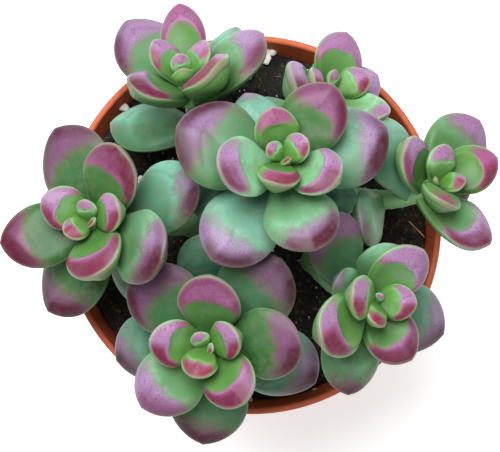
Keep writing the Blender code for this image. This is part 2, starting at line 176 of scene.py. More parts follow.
def skin_object(name, skin, material, attributes=None, smooth=True):
    """A mesh object from a skin's points and faces, with numbers for the material at every point."""
    points, corners, counts = skin
    mesh = bpy.data.meshes.new(name)
    mesh.vertices.add(len(points))
    mesh.vertices.foreach_set("co", np.asarray(points, np.float32).ravel())
    mesh.loops.add(len(corners))
    mesh.loops.foreach_set("vertex_index", np.asarray(corners, np.int32))
    mesh.polygons.add(len(counts))
    starts = np.concatenate([[0], np.cumsum(counts)[:-1]])
    mesh.polygons.foreach_set("loop_start", starts.astype(np.int32))
    mesh.update(calc_edges=True)
    mesh.polygons.foreach_set("use_smooth", np.full(len(counts), smooth))
    for key, values in (attributes or {}).items():
        made = mesh.attributes.new(key, "FLOAT", "POINT")
        made.data.foreach_set("value", np.asarray(values, np.float32))
    mesh.materials.append(material)
    thing = bpy.data.objects.new(name, mesh)
    scene.collection.objects.link(thing)
    print(f"{name}: {len(points)} points, {len(counts)} faces")
    return thing


# %% [markdown]
# ## Materials from nodes
# Colours are written as sRGB hex values, as a paint program shows them, and turned to the linear numbers
# that the shader wants. One helper adds a node, sets its values and links its sockets, so that a material
# reads as a short list of steps. Patterns are measured in the object's own coordinates, so their sizes are
# real millimetres.

# %% Colour and node helpers
# The sockets of a Mix node for its two colours, and the settings and output that make it mix colours
A, B = 6, 7
COLOURS = {"data_type": "RGBA", "output": 2}


def linear(code):
    """An sRGB hex colour as linear red, green, blue and alpha."""
    parts = [int(code[i:i + 2], 16) / 255 for i in (1, 3, 5)]
    return (*[p / 12.92 if p <= 0.04045 else ((p + 0.055) / 1.055) ** 2.4 for p in parts], 1.0)


def add_node(tree, kind, sockets=None, stops=(), output=0, **settings):
    """Add a node with its settings and colour stops, and return one of its outputs.

    A socket takes a number, a hex colour or another node's output.
    """
    node = tree.nodes.new("ShaderNode" + kind)
    for key, value in settings.items():
        setattr(node, key, value)
    for key, value in (sockets or {}).items():
        if isinstance(value, bpy.types.NodeSocket):
            tree.links.new(value, node.inputs[key])
        else:
            node.inputs[key].default_value = linear(value) if isinstance(value, str) else value
    for i, (place, colour) in enumerate(stops):
        if i >= len(node.color_ramp.elements):
            node.color_ramp.elements.new(1.0)
        node.color_ramp.elements[i].position = place
        node.color_ramp.elements[i].color = linear(colour)
    return node.outputs[output]


def new_material(name, **values):
    """A material whose shader has these socket values. Returns it, its tree and the place on the object."""
    material = bpy.data.materials.new(name)
    material.use_nodes = True
    tree = material.node_tree
    for key, value in values.items():
        tree.nodes["Principled BSDF"].inputs[key.replace("_", " ")].default_value = value
    return material, tree, add_node(tree, "TexCoord", output="Object")


def connect(tree, **outputs):
    """Link outputs to the shader's sockets of these names."""
    for key, output in outputs.items():
        tree.links.new(output, tree.nodes["Principled BSDF"].inputs[key.replace("_", " ")])


# %% [markdown]
# ## The floor
# The photograph's background is white, with hardly a shadow on it. A photographer gets that by standing
# the plant on a light table, an opal sheet that is lit from below. So the floor is a very large white sheet
# that glows a little, and the glow is set on the shader itself.

# %% Opal sheet of a light table
FLOOR_REACH = 3.0
FLOOR_DROP = 0.1 * MM
SHEET_GRAIN = 1.2 * MM
SHEET_GLOW = 0.50


def opal_sheet():
    """Matt opal acrylic, IOR 1.49: milky white, without gloss, lit from below, with a faint grain."""
    material, tree, place = new_material("matt_opal_acrylic", Roughness=0.9, IOR=1.49,
                                         Emission_Color=(0.92, 1, 1, 1), Emission_Strength=SHEET_GLOW)
    grain = add_node(tree, "TexNoise", {"Vector": place, "Scale": 1 / SHEET_GRAIN})
    connect(tree, Base_Color=add_node(tree, "ValToRGB", {"Fac": grain}, [(0.3, "#f5f5f4"), (0.7, "#fafaf9")]))
    return material


sheet = FLOOR_REACH * np.array([[-1, -1, 0], [1, -1, 0], [1, 1, 0], [-1, 1, 0]]) - [0, 0, FLOOR_DROP]
skin_object("floor", (sheet, [0, 1, 2, 3], [4]), opal_sheet())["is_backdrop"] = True

# %% [markdown]
# ## The pot
# A nursery pot is moulded from thin polypropylene, so it has an even wall, a rolled lip and a collar that
# stops stacked pots from jamming. It is a profile turned about the axis. The profile's corners are
# rounded by short arcs, because a moulding has no sharp edge and each arc catches a line of light. The
# eight drain holes are cut last, with a Boolean.

# %% Pot profile
RIM_RADIUS = 52.5 * MM
WALL = 1.5 * MM
RIM_WALL = 1.7 * MM
LIP_RADIUS = 0.75 * MM
COLLAR_DEPTH = 14.0 * MM
COLLAR_STEP = 1.3 * MM
BASE_RADIUS = 36.5 * MM
BASE_THICKNESS = 2.0 * MM
CORNER_RADIUS = 3.0 * MM
COLLAR_HEIGHT = POT_HEIGHT - COLLAR_DEPTH
INNER_FOOT = BASE_THICKNESS + CORNER_RADIUS
MIDDLE_GAP = 0.3 * MM
ARC_STEPS = 6


def pot_outer_radius(height):
    """The tapered wall's outer radius grows evenly from the base to just inside the rim."""
    top = RIM_RADIUS - COLLAR_STEP
    return BASE_RADIUS + (top - BASE_RADIUS) * height / POT_HEIGHT


def pot_inner_radius(height):
    """The inner radius runs in straight lines between the floor's corner, the collar and the lip."""
    heights = (INNER_FOOT, COLLAR_HEIGHT, POT_HEIGHT - 2 * LIP_RADIUS)
    radii = (pot_outer_radius(CORNER_RADIUS) - WALL, pot_outer_radius(COLLAR_HEIGHT) - WALL,
             RIM_RADIUS - RIM_WALL)
    return float(np.interp(height, heights, radii))


def rounded(chain):
    """Corners given as (radius, height, rounding), each turned into a short arc.

    An arc runs from one side to the next: start (1-s)^2 + corner 2s(1-s) + end s^2, where start and end
    lie its rounding away from the corner along the two sides.
    """
    spots = np.array([corner[:2] for corner in chain])
    share = np.linspace(0, 1, ARC_STEPS + 1)[:, None]
    arcs = []
    for i, (_, _, rounding) in enumerate(chain):
        if rounding == 0:
            arcs.append(spots[i:i + 1])
            continue
        before, after = spots[i - 1] - spots[i], spots[i + 1] - spots[i]
        start = spots[i] + before / np.linalg.norm(before) * rounding
        end = spots[i] + after / np.linalg.norm(after) * rounding
        arcs.append(start * (1 - share) ** 2 + 2 * spots[i] * share * (1 - share) + end * share**2)
    return np.concatenate(arcs)


pot_profile = rounded([
    (MIDDLE_GAP, 0, 0),
    (pot_outer_radius(0), 0, CORNER_RADIUS),
    (pot_outer_radius(COLLAR_HEIGHT), COLLAR_HEIGHT, 0.25 * MM),
    (RIM_RADIUS, COLLAR_HEIGHT + 0.25 * MM, 0.4 * MM),
    (RIM_RADIUS, POT_HEIGHT, LIP_RADIUS),
    (RIM_RADIUS - RIM_WALL, POT_HEIGHT, LIP_RADIUS),
    (pot_inner_radius(COLLAR_HEIGHT), COLLAR_HEIGHT, 0.6 * MM),
    (pot_inner_radius(INNER_FOOT), BASE_THICKNESS, CORNER_RADIUS),
    (MIDDLE_GAP, BASE_THICKNESS, 0),
])
print("points in the pot's profile:", len(pot_profile))

# %% [markdown]
# ## The pot's plastic
# Nursery pots are polypropylene coloured right through with a terracotta pigment. The moulded surface is
# satin: it has a soft sheen and faint flow marks, and on the inside it holds dust and dried soil, which
# darken it towards the soil line.

# %% Terracotta-coloured polypropylene
SOIL_LEVEL = POT_HEIGHT - 7.5 * MM
SMEAR_HEIGHT = 5.0 * MM
FLOW_MARK = 2.5 * MM
SOIL_SMEAR = 3.5 * MM


def terracotta_polypropylene():
    """Moulded polypropylene, IOR 1.49: satin, warm orange, with soil smeared on the inner wall."""
    material, tree, place = new_material("moulded_terracotta_polypropylene", IOR=1.49)
    flow = add_node(tree, "TexNoise", {"Vector": place, "Scale": 1 / FLOW_MARK, "Detail": 4})
    smear = add_node(tree, "TexNoise", {"Vector": place, "Scale": 1 / SOIL_SMEAR, "Detail": 6})
    inside = add_node(tree, "Attribute", output="Fac", attribute_name="inside")
    height = add_node(tree, "SeparateXYZ", {0: place}, output="Z")
    dirty = add_node(tree, "MapRange", {"Value": height, "From Min": SOIL_LEVEL + SMEAR_HEIGHT,
                     "From Max": SOIL_LEVEL})
    for share in (smear, inside):
        dirty = add_node(tree, "Math", {0: dirty, 1: share}, operation="MULTIPLY")
    dirty = add_node(tree, "MapRange", {"Value": dirty, "From Min": 0.22, "From Max": 0.5, "To Max": 0.9})
    colour = add_node(tree, "ValToRGB", {"Fac": flow},
                      [(0.25, "#bf522d"), (0.55, "#c75a33"), (0.8, "#ce653f")])
    # The inner wall's deeper orange is painted light and shade: the plastic is one colour right through, and
    # this tint stands for how light falls inside the rim. The dark brown over it is soil.
    for factor, over in ((inside, "#cc4d1c"), (dirty, "#2a1c14")):
        colour = add_node(tree, "Mix", {"Factor": factor, A: colour, B: over}, **COLOURS)
    rough = add_node(tree, "MapRange", {"Value": smear, "To Min": 0.50, "To Max": 0.74})
    bump = add_node(tree, "Bump", {"Height": flow, "Strength": 0.15, "Distance": 0.05 * MM})
    connect(tree, Base_Color=colour, Roughness=rough, Normal=bump)
    return material


# %% Turn the pot and cut its drain holes
POT_SEGMENTS = 240
DRAIN_HOLES = 8
DRAIN_RADIUS = 3.5 * MM
DRAIN_CIRCLE = 27.0 * MM
DRAIN_SIDES = 40
DRAIN_FROM = -5.0 * MM
DRAIN_TO = 8.0 * MM
SHARP_ANGLE = radians(50)


def full_turn(steps):
    """The angles of a full turn in equal steps, from 0."""
    return 2 * pi * np.arange(steps) / steps


def turned(profile, segments):
    """A grid from a profile: radius (cos a, sin a) and height at each profile point and angle a."""
    turn = full_turn(segments)
    radius, height = profile[:, 0:1], profile[:, 1:2]
    return np.stack([radius * np.cos(turn), radius * np.sin(turn), height + 0 * turn], axis=-1)


def smoothstep(low, high, value):
    """0 below low, 1 above high, and an S-curve between them."""
    share = np.clip((value - low) / (high - low), 0, 1)
    return share * share * (3 - 2 * share)


def make_pot():
    """The turned profile, with a number that says which points are on the inner wall."""
    lip = int(np.argmax(pot_profile[:, 1] >= POT_HEIGHT)) + ARC_STEPS
    inside = smoothstep(lip, lip + ARC_STEPS, np.arange(len(pot_profile)))
    inside = np.concatenate([np.repeat(inside, POT_SEGMENTS), [0, 1]])
    skin = closed_skin(turned(pot_profile, POT_SEGMENTS), (0, 0, 0), (0, 0, BASE_THICKNESS))
    return skin_object("nursery_pot", skin, terracotta_polypropylene(), {"inside": inside})


def cut_drains(pot):
    """Cut eight round holes through the base with one Boolean, then remove the cutters."""
    profile = np.array([(DRAIN_RADIUS, DRAIN_FROM), (DRAIN_RADIUS, DRAIN_TO)])
    skins = []
    for bearing in full_turn(DRAIN_HOLES):
        middle = DRAIN_CIRCLE * np.array([cos(bearing), sin(bearing), 0])
        skins.append(closed_skin(turned(profile, DRAIN_SIDES) + middle, middle + (0, 0, DRAIN_FROM),
                                 middle + (0, 0, DRAIN_TO)))
    cutter = skin_object("drain_cutter", joined(skins), pot.data.materials[0])
    step = pot.modifiers.new("drains", "BOOLEAN")
    step.object = cutter
    step.solver = "EXACT"
    shaped = pot.evaluated_get(bpy.context.evaluated_depsgraph_get())
    cut = bpy.data.meshes.new_from_object(shaped)
    pot.modifiers.clear()
    pot.data = cut
    bpy.data.objects.remove(cutter)
    print("pot faces after the holes:", len(cut.polygons))


pot = make_pot()
cut_drains(pot)
pot.data.shade_smooth()
pot.data.set_sharp_from_angle(angle=SHARP_ANGLE)
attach(pot, "root")
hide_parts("pot")

# %% [markdown]
# ## The soil
# The bed is a peat mix: loose, lumpy and nearly black while damp. Its large lumps are two waves that
# cross, as on the plain model, and finer noise gives them a broken surface. Noise over a grid can be made
# from arrays alone: random heights on a coarse lattice, blended smoothly in between, and several such
# layers, each twice as fine and a little over half as high.

# %% Soil bed
CLEARANCE = 0.35 * MM
SOIL_RELIEF = 1.1 * MM
# Each wave: its share of the height, how tight it is, how far and how tightly it wanders, and its start
SOIL_WAVES = ((0.55, 310.0, 1.3, 190.0, 0.0), (0.45, 270.0, -1.7, 230.0, 1.0))
SOIL_RINGS = 110
SOIL_SEGMENTS = 400
LUMP_SIZE = 5.0 * MM
LUMP_HEIGHT = 0.45 * MM
LAYERS = 4
LAYER_FALL = 0.6
LATTICE = 64


def soil_height(x, y):
    """Two waves that cross, each wandering sideways: sin(tight along + far sin(wander aside) + start)."""
    height = SOIL_LEVEL + 0 * x
    for (share, tight, far, wander, start), (along, aside) in zip(SOIL_WAVES, ((x, y), (y, x))):
        height = height + SOIL_RELIEF * share * np.sin(tight * along + far * np.sin(wander * aside) + start)
    return height


def lattice_noise(x, y, size, seed):
    """Random heights from -1 to 1 on a lattice of this size, blended by S-curves in between."""
    heights = np.random.default_rng(seed).uniform(-1, 1, (LATTICE, LATTICE))
    column, row = x / size, y / size
    i, j = np.floor(column).astype(int), np.floor(row).astype(int)
    a, b = smoothstep(0, 1, column - i), smoothstep(0, 1, row - j)
    i, j, k, m = i % LATTICE, j % LATTICE, (i + 1) % LATTICE, (j + 1) % LATTICE
    low = heights[i, j] * (1 - a) + heights[k, j] * a
    high = heights[i, m] * (1 - a) + heights[k, m] * a
    return low * (1 - b) + high * b


def rough_soil(x, y):
    """The soil's height with four layers of noise, each half as wide and 0.6 times as high as the last."""
    height = soil_height(x, y)
    for layer in range(LAYERS):
        size = LUMP_SIZE / 2**layer
        height = height + LUMP_HEIGHT * LAYER_FALL**layer * lattice_noise(x, y, size, layer)
    return height


def make_soil(material):
    """Rings from the middle of the top out to the wall, then down it and in along the floor.

    They are then taken in the opposite order, from the floor up, so that the faces look outwards.
    """
    outer = pot_inner_radius(SOIL_LEVEL - SOIL_RELIEF) - CLEARANCE
    radii = outer * np.arange(1, SOIL_RINGS + 1) / SOIL_RINGS
    top = turned(np.stack([radii, 0 * radii], axis=1), SOIL_SEGMENTS)
    top[..., 2] = rough_soil(top[..., 0], top[..., 1])
    side = np.array([
        (pot_inner_radius(COLLAR_HEIGHT) - CLEARANCE, COLLAR_HEIGHT),
        (pot_inner_radius(INNER_FOOT) - CLEARANCE, INNER_FOOT + CLEARANCE),
        (pot_inner_radius(INNER_FOOT) - CORNER_RADIUS - CLEARANCE, BASE_THICKNESS + CLEARANCE),
    ])
    grid = np.concatenate([top, turned(side, SOIL_SEGMENTS)])[::-1]
    middle = float(rough_soil(np.zeros(1), np.zeros(1))[0])
    skin = closed_skin(grid, (0, 0, BASE_THICKNESS + CLEARANCE), (0, 0, middle))
    return skin_object("soil_bed", skin, material)


# %% [markdown]
# ## Peat soil's colour
# Damp peat is nearly black with brown bark and root fibre in it. Crumbs about a millimetre wide differ in
# colour, and a few tan flecks stand out. It is matt, but its wettest crumbs glint.

# %% Damp peat
CRUMB_SIZE = 0.8 * MM
GRIT_SIZE = 0.5 * MM


def damp_peat():
    """Loose damp peat, IOR 1.4: near-black brown crumbs with tan flecks and a few wet glints."""
    material, tree, place = new_material("damp_peat_mix", IOR=1.4)
    crumbs = add_node(tree, "TexVoronoi", {"Vector": place, "Scale": 1 / CRUMB_SIZE}, output="Color")
    tone = add_node(tree, "SeparateXYZ", {0: crumbs}, output="X")
    colour = add_node(tree, "ValToRGB", {"Fac": tone},
                      [(0.0, "#0d0a08"), (0.55, "#1b1410"), (0.86, "#2e2219"), (0.98, "#58452f")])
    rough = add_node(tree, "MapRange", {"Value": tone, "To Min": 0.55, "To Max": 0.95})
    grit = add_node(tree, "TexNoise", {"Vector": place, "Scale": 1 / GRIT_SIZE, "Detail": 3})
    bump = add_node(tree, "Bump", {"Height": grit, "Strength": 0.8, "Distance": 0.4 * MM})
    connect(tree, Base_Color=colour, Roughness=rough, Normal=bump)
    return material


peat = damp_peat()
soil = make_soil(peat)
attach(soil, "root")
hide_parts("soil")

# %% [markdown]
# ## Crumbs, white grains and fibres
# On the bed lie loose crumbs, white perlite and thin pale fibres. A crumb is repeated hundreds of times,
# so it is a lumpy twenty-sided stone, while each white grain that the photograph shows is a finer lump in
# its own place. That place comes from its pixel in the picture: a ray from the camera through the pixel,
# followed to the soil.

# %% Loose crumbs
GOLDEN = (1 + 5**0.5) / 2
# On a ball of radius 1, the two ends of an edge are 1.05 apart, and other pairs of points are further
LONGEST_EDGE = 1.1
CRUMB_COUNT = 1500
CRUMB_RADII = (0.35 * MM, 1.3 * MM)
WALL_ROOM = 1.2 * MM
STONE_REACH = (0.6, 1.15)
STONE_SQUASH = (0.6, 1.2)


def icosahedron():
    """Twelve points at (0, 1, golden ratio) and its turns and mirrors, and the twenty faces they make."""
    corners = [(a, b * GOLDEN, 0) for a in (-1, 1) for b in (-1, 1)]
    points = np.array([np.roll(corner, turn) for turn in range(3) for corner in corners], float)
    points /= np.linalg.norm(points[0])
    near = np.linalg.norm(points[:, None] - points[None], axis=2) < LONGEST_EDGE
    faces = [(i, j, k) for i in range(12) for j in range(i + 1, 12) for k in range(j + 1, 12)
             if near[i, j] and near[j, k] and near[i, k]]
    turned_faces = []
    for i, j, k in faces:
        outward = np.dot(np.cross(points[j] - points[i], points[k] - points[i]), points[i]) > 0
        turned_faces.append((i, j, k) if outward else (i, k, j))
    return points, np.array(turned_faces)


def lumps(places, radii, seed):
    """One lumpy twenty-sided stone at each place: the icosahedron with every point moved in or out."""
    chance = np.random.default_rng(seed)
    points, faces = icosahedron()
    count = len(places)
    reach = radii[:, None] * chance.uniform(*STONE_REACH, (count, len(points)))
    squash = chance.uniform(*STONE_SQUASH, (count, 1, 3))
    stones = points[None] * reach[..., None] * squash + places[:, None]
    corners = (faces[None] + len(points) * np.arange(count)[:, None, None]).ravel()
    return stones.reshape(-1, 3), corners, np.full(count * len(faces), 3)


def scatter(count, seed):
    """Places spread evenly over the soil, each at the height of the soil there."""
    chance = np.random.default_rng(seed)
    outer = pot_inner_radius(SOIL_LEVEL) - WALL_ROOM
    radius = outer * np.sqrt(chance.uniform(0, 1, count))
    turn = chance.uniform(0, 2 * pi, count)
    x, y = radius * np.cos(turn), radius * np.sin(turn)
    return np.stack([x, y, rough_soil(x, y)], axis=1), chance


places, chance = scatter(CRUMB_COUNT, seed=11)
sizes = CRUMB_RADII[0] + (CRUMB_RADII[1] - CRUMB_RADII[0]) * chance.uniform(0, 1, CRUMB_COUNT) ** 3
crumbs = skin_object("soil_crumbs", lumps(places, sizes, seed=12), peat, smooth=False)
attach(crumbs, "root")

# %% White grains where the photograph shows them
# Each grain: its pixel in the picture, then its width and height there, in pixels
GRAINS = [(271, 51, 9, 9), (265, 57, 10, 13), (261, 47, 6, 6), (123, 108, 11, 7), (147, 110, 15, 9),
          (153, 117, 5, 4), (250, 78, 3, 3), (320, 391, 16, 5), (250, 400, 4, 4), (140, 180, 8, 8),
          (128, 162, 5, 4), (346, 209, 5, 4), (351, 211, 6, 5), (347, 215, 5, 4), (408, 290, 4, 3),
          (356, 328, 3, 3), (358, 337, 3, 3), (375, 237, 5, 4)]
PIXEL = 0.2763 * MM
GRAIN_SWELL = 1.25 * PIXEL
GRAIN_LIFT = 0.8 * MM
GRAIN_FLATNESS = 0.8
GRAIN_RINGS = 10
GRAIN_SIDES = 18
BULGES = 7
BULGE_HEIGHT = 0.09
BULGE_TIGHTNESS = 3
BULGE_PHASES = 6
FIRST_GRAIN_SEED = 20
FINE_GRAINS = 170
FINE_RADII = (0.15 * MM, 0.5 * MM)
PIT_SIZE = 0.7 * MM


def soil_under(u, v):
    """The point of the soil that the camera sees at a pixel: the ray meets the level plane of the soil."""
    right, up, ahead = [Vector(row) for row in np.array(camera.rotation_euler.to_matrix()).T]
    ray = -ahead * FOCAL_PIXELS + right * (u - RIM_MIDDLE[0]) + up * (RIM_MIDDLE[1] - v)
    hit = camera.location + ray * (SOIL_LEVEL - camera.location.z) / ray.z
    return np.array([hit.x, hit.y, float(rough_soil(np.array([hit.x]), np.array([hit.y]))[0])])


def pebble(middle, width, height, seed):
    """A lumpy grain: a ball with a cosine lump in a random direction added seven times."""
    chance = np.random.default_rng(seed)
    climb = np.linspace(0, pi, GRAIN_RINGS + 2)[1:-1]
    ball = turned(np.stack([np.sin(climb), -np.cos(climb)], axis=1), GRAIN_SIDES)
    ball, corners, counts = closed_skin(ball, (0, 0, -1), (0, 0, 1))
    bulges = chance.normal(size=(BULGES, 3))
    waves = np.cos(BULGE_TIGHTNESS * ball @ bulges.T + chance.uniform(0, BULGE_PHASES, BULGES))
    swell = 1 + BULGE_HEIGHT * waves.sum(axis=1)
    size = np.array([width, height, GRAIN_FLATNESS * min(width, height)]) / 2
    return ball * swell[:, None] * size + middle, corners, counts


def perlite():
    """Expanded volcanic glass, IOR 1.5: a chalky white foam, tan-grey down in its pits."""
    material, tree, place = new_material("expanded_perlite", IOR=1.5, Roughness=0.85)
    pits = add_node(tree, "TexNoise", {"Vector": place, "Scale": 1 / PIT_SIZE, "Detail": 4})
    colour = add_node(tree, "ValToRGB", {"Fac": pits},
                      [(0.3, "#b5a68f"), (0.42, "#efe6d6"), (0.65, "#fbf6ec")])
    bump = add_node(tree, "Bump", {"Height": pits, "Strength": 0.6, "Distance": 0.3 * MM})
    connect(tree, Base_Color=colour, Normal=bump)
    return material


skins = [pebble(soil_under(u, v) + (0, 0, GRAIN_LIFT), wide * GRAIN_SWELL, high * GRAIN_SWELL, seed)
         for seed, (u, v, wide, high) in enumerate(GRAINS, FIRST_GRAIN_SEED)]
places, chance = scatter(FINE_GRAINS, seed=13)
skins.append(lumps(places, chance.uniform(*FINE_RADII, FINE_GRAINS), seed=14))
grains = skin_object("perlite_grains", joined(skins), perlite())
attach(grains, "root")

# %% Fibres and a straw needle
FIBRE_COUNT = 80
FIBRE_RADIUS = 0.08 * MM
FIBRE_REACH = (2 * MM, 6 * MM)
FIBRE_START_LIFT = 0.5 * MM
FIBRE_END_LIFT = 0.6 * MM
FIBRE_BOW = 0.4 * MM
FIBRE_ROOM = 5 * MM
STRAW_FROM = (408, 222)
STRAW_TO = (424, 238)
STRAW_RADIUS = 0.16 * MM
STRAW_LIFT = 1.3 * MM
STRAW_BOW = 0.5 * MM
SHADE_SIZE = 2 * MM
STRAND_POINTS = 8
STRAND_SIDES = 4


def strand(start, end, bow, radius):
    """A thin thread: start (1-s) + end s + bow sin(pi s), carried round a small circle."""
    share = np.linspace(0, 1, STRAND_POINTS)[:, None]
    path = start * (1 - share) + end * share + np.array([0, 0, bow]) * np.sin(pi * share)
    along = (end - start) / np.linalg.norm(end - start)
    side = np.cross((0, 0, 1), along)
    lift = np.cross(along, side)
    turn = full_turn(STRAND_SIDES)
    ring = np.cos(turn)[:, None] * side + np.sin(turn)[:, None] * lift
    return closed_skin(path[:, None] + radius * ring[None], path[0], path[-1])


def dry_fibre(name, *stops):
    """Dry plant fibre, IOR 1.45: tan in shades that change along it, and a little glossy."""
    material, tree, place = new_material(name, IOR=1.45, Roughness=0.6)
    tone = add_node(tree, "TexNoise", {"Vector": place, "Scale": 1 / SHADE_SIZE})
    connect(tree, Base_Color=add_node(tree, "ValToRGB", {"Fac": tone}, stops))
    return material


starts, chance = scatter(FIBRE_COUNT, seed=15)
turns = chance.uniform(0, 2 * pi, FIBRE_COUNT)
reach = chance.uniform(*FIBRE_REACH, FIBRE_COUNT)[:, None]
ends = starts + reach * np.stack([np.cos(turns), np.sin(turns), 0 * turns], axis=1)
skins = [strand(a + (0, 0, FIBRE_START_LIFT), b + (0, 0, FIBRE_END_LIFT), FIBRE_BOW, FIBRE_RADIUS)
         for a, b in zip(starts, ends) if np.hypot(*b[:2]) < RIM_RADIUS - FIBRE_ROOM]
root_fibre = dry_fibre("dry_root_fibre", (0.35, "#3a2b1c"), (0.6, "#6f583a"), (0.75, "#a58d66"))
needle = [soil_under(*spot) + (0, 0, STRAW_LIFT) for spot in (STRAW_FROM, STRAW_TO)]
needle = strand(*needle, STRAW_BOW, STRAW_RADIUS)
straw = dry_fibre("golden_grass_straw", (0.3, "#a97a35"), (0.5, "#cb9f52"), (0.7, "#dcb974"))
for loose in (skin_object("root_fibres", joined(skins), root_fibre), skin_object("straw", needle, straw)):
    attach(loose, "root")

# %% [markdown]
# ## How the plant grows
# Each leafy stem rises from the soil and bends over to its crown. Young leaves stand round the bud, and
# each older leaf sits a golden angle, 137.5 degrees, further round, lower down and more open. The plain
# model already places every leaf by this rule, with nudges where the photographed plant strays from it,
# so the same rule is used again here, with nudges that follow the photograph a little more closely.

# %% The leafy stems
LeafyStem = namedtuple("LeafyStem", "name foot crown lean hand first leaves size nudges")
NO_NUDGE = [0, 0, 1, 1, 0]

# foot: where it leaves the soil, mm. crown: the middle of its bud, mm, the height being above the rim.
# lean: the bearing that its crown leans to and how far, degrees. hand: +1 where the leaves follow each
# other anticlockwise. first: the bearing of the youngest leaf. size: of the whole rosette. nudges: what
# one leaf does of its own, as extra turn and lift in degrees, share of length, of width and how much
# further down the stem it sits, mm. The last ones may be left out, and are then as in NO_NUDGE.
LEAFY_STEMS = (
    LeafyStem("leafy_stem_back_left", (-6, 17), (-17.3, 35.3, 30), (103, 44), 1, 132.5, 12, 0.95, {
        0: [-20, 20, 2, 0.9], 1: [10, 20, 1.4, 1, 1.5], 2: [-12, 0, 1.35, 0.9], 3: [-38, 12, 1.15, 0.8],
        4: [2, 5, 1.25], 5: [-7, 0, 1.28, 0.68], 6: [-25, 15, 0.9], 7: [10, 0, 1.1, 0.95],
        8: [-25, 0, 1.3, 0.8], 9: [0, 0, 0.6], 10: [0, 0, 1.02, 0.72], 11: [-35, 0, 1.02, 0.8, 6],
    }),
    LeafyStem("leafy_stem_back_right", (12, 20), (21.2, 32.9, 24), (40, 38), 1, 120, 11, 0.85, {
        0: [15, 0, 2], 2: [-15, 0, 1.35], 3: [22, 0, 1.2], 4: [5, 0, 1.28, 0.85], 5: [-9, 0, 1.1],
        6: [-25, 10, 1.2], 7: [25, 0, 0.85], 8: [55, -22, 0.95, 0.9, 3], 9: [0, 0, 0.7], 10: [0, 0, 0.9],
    }),
    LeafyStem("leafy_stem_centre", (3, 4), (7.8, 12.2, 52), (95, 15), -1, 309.5, 15, 1.0, {
        1: [-25, 0, 1.1], 2: [-5], 3: [0, 5, 1.05], 4: [-16, 0, 0.88], 5: [-8, 0, 0.9],
        6: [-12, 5, 0.88, 1.1], 7: [-10, 0, 1, 0.93], 8: [-3, 0, 0.97], 9: [8, 0, 1.05, 1.1],
        10: [8, 0, 1.02], 11: [-5, 0, 0.98, 0.95], 12: [11, 0, 0.84, 0.8], 13: [28, 0, 0.7, 0.75, 3],
        14: [10, 0, 0.75, 1, 3],
    }),
    LeafyStem("leafy_stem_left", (-17, 0), (-41.2, -1.9, 36), (160, 18), 1, -37.5, 14, 1.0, {
        1: [-10, 0, 1.2], 2: [-17, 0, 0.93], 3: [-2, -5], 4: [0, 0, 0.9], 5: [0, 5, 1, 1.1],
        6: [-8, 0, 1.06, 0.99], 7: [-14, 0, 1.1, 0.86], 8: [-7, 4, 1.1, 0.9], 9: [-3, 0, 1.06],
        10: [-27], 11: [-12, 0, 1.03, 0.83], 12: [-8], 13: [-44, 0, 0.65, 1, 2],
    }),
    LeafyStem("leafy_stem_right", (24, 8), (48.0, 8.4, 30), (38, 38), 1, 200, 12, 0.9, {
        1: [0, 0, 1.5], 2: [-15, 0, 1.25, 1.1], 3: [-3, 0, 1.1, 1.15], 4: [-7, 0, 1.25, 0.9],
        5: [-23, 0, 1, 1, 2], 6: [6, 0, 1.12, 0.95, 2], 7: [-28, 0, 1.15], 8: [-15, 10, 0.9, 1, 14],
        9: [20, 0, 0.75], 10: [-3, 0, 0.92, 1.1], 11: [-45, -5, 0.56, 1, 9],
    }),
    LeafyStem("leafy_stem_front", (-6, -15), (-11.4, -34.1, 38), (200, 10), 1, -20, 15, 0.98, {
        1: [0, 0, 1.1], 2: [0, 0, 1.1, 1.15], 3: [-10], 8: [4], 9: [0, -7], 10: [-12, 0, 1.03], 11: [-3],
        12: [10], 14: [-5, 0, 0.85, 0.9, 3],
    }),
    LeafyStem("leafy_stem_front_right", (17, -10), (31.2, -22.3, 32), (355, 30), -1, 60, 12, 0.92, {
        1: [-40, -5, 1.7], 2: [25, -10, 1.5, 1.1], 3: [-8], 4: [-23, -15, 1.45, 0.95], 5: [-38, 0, 1.1],
        6: [-12, 0, 0.97], 7: [-30, 0, 0.6], 8: [16, 8, 0.8, 1, 4], 10: [-8, 0, 1, 0.85],
        11: [-11, 0, 1.2, 0.85],
    }),
)
print("leaves in all:", sum(stem.leaves for stem in LEAFY_STEMS))

# %% A stem's path
UP = Vector((0, 0, 1))
STEM_RISE = 0.35
STEM_BEND = 0.4
PATH_STEPS = 200
PATH_STEP = 0.01


def bearing_vector(bearing, climb=0.0):
    """A unit vector at a bearing from +X towards +Y, and a climb above the level, in degrees."""
    turn, rise = radians(bearing), radians(climb)
    return Vector((cos(turn) * cos(rise), sin(turn) * cos(rise), sin(rise)))


def foot_point(stem, height=SOIL_LEVEL):
    """The stem's foot, at the soil or at another height."""
    return Vector((stem.foot[0] * MM, stem.foot[1] * MM, height))


def crown_point(stem):
    """The middle of the bud."""
    x, y, above_rim = stem.crown
    return Vector((x * MM, y * MM, POT_HEIGHT + above_rim * MM))


def stem_path(stem, share):
    """A cubic Bezier curve: foot r^3 + 3 low s r^2 + 3 high s^2 r + crown s^3, with r = 1 - s.

    low lies straight above the foot. high lies below the crown, in the direction that the crown faces.
    """
    foot, crown = foot_point(stem), crown_point(stem)
    bearing, lean = stem.lean
    span = (crown - foot).length
    low = foot + STEM_RISE * span * UP
    high = crown - STEM_BEND * span * bearing_vector(bearing, 90 - lean)
    rest = 1 - share
    return foot * rest**3 + 3 * low * share * rest**2 + 3 * high * share**2 * rest + crown * share**3


def path_direction(stem, share):
    """The path's direction, from two points close together."""
    after = min(share + PATH_STEP, 1.0)
    return (stem_path(stem, after) - stem_path(stem, after - 2 * PATH_STEP)).normalized()


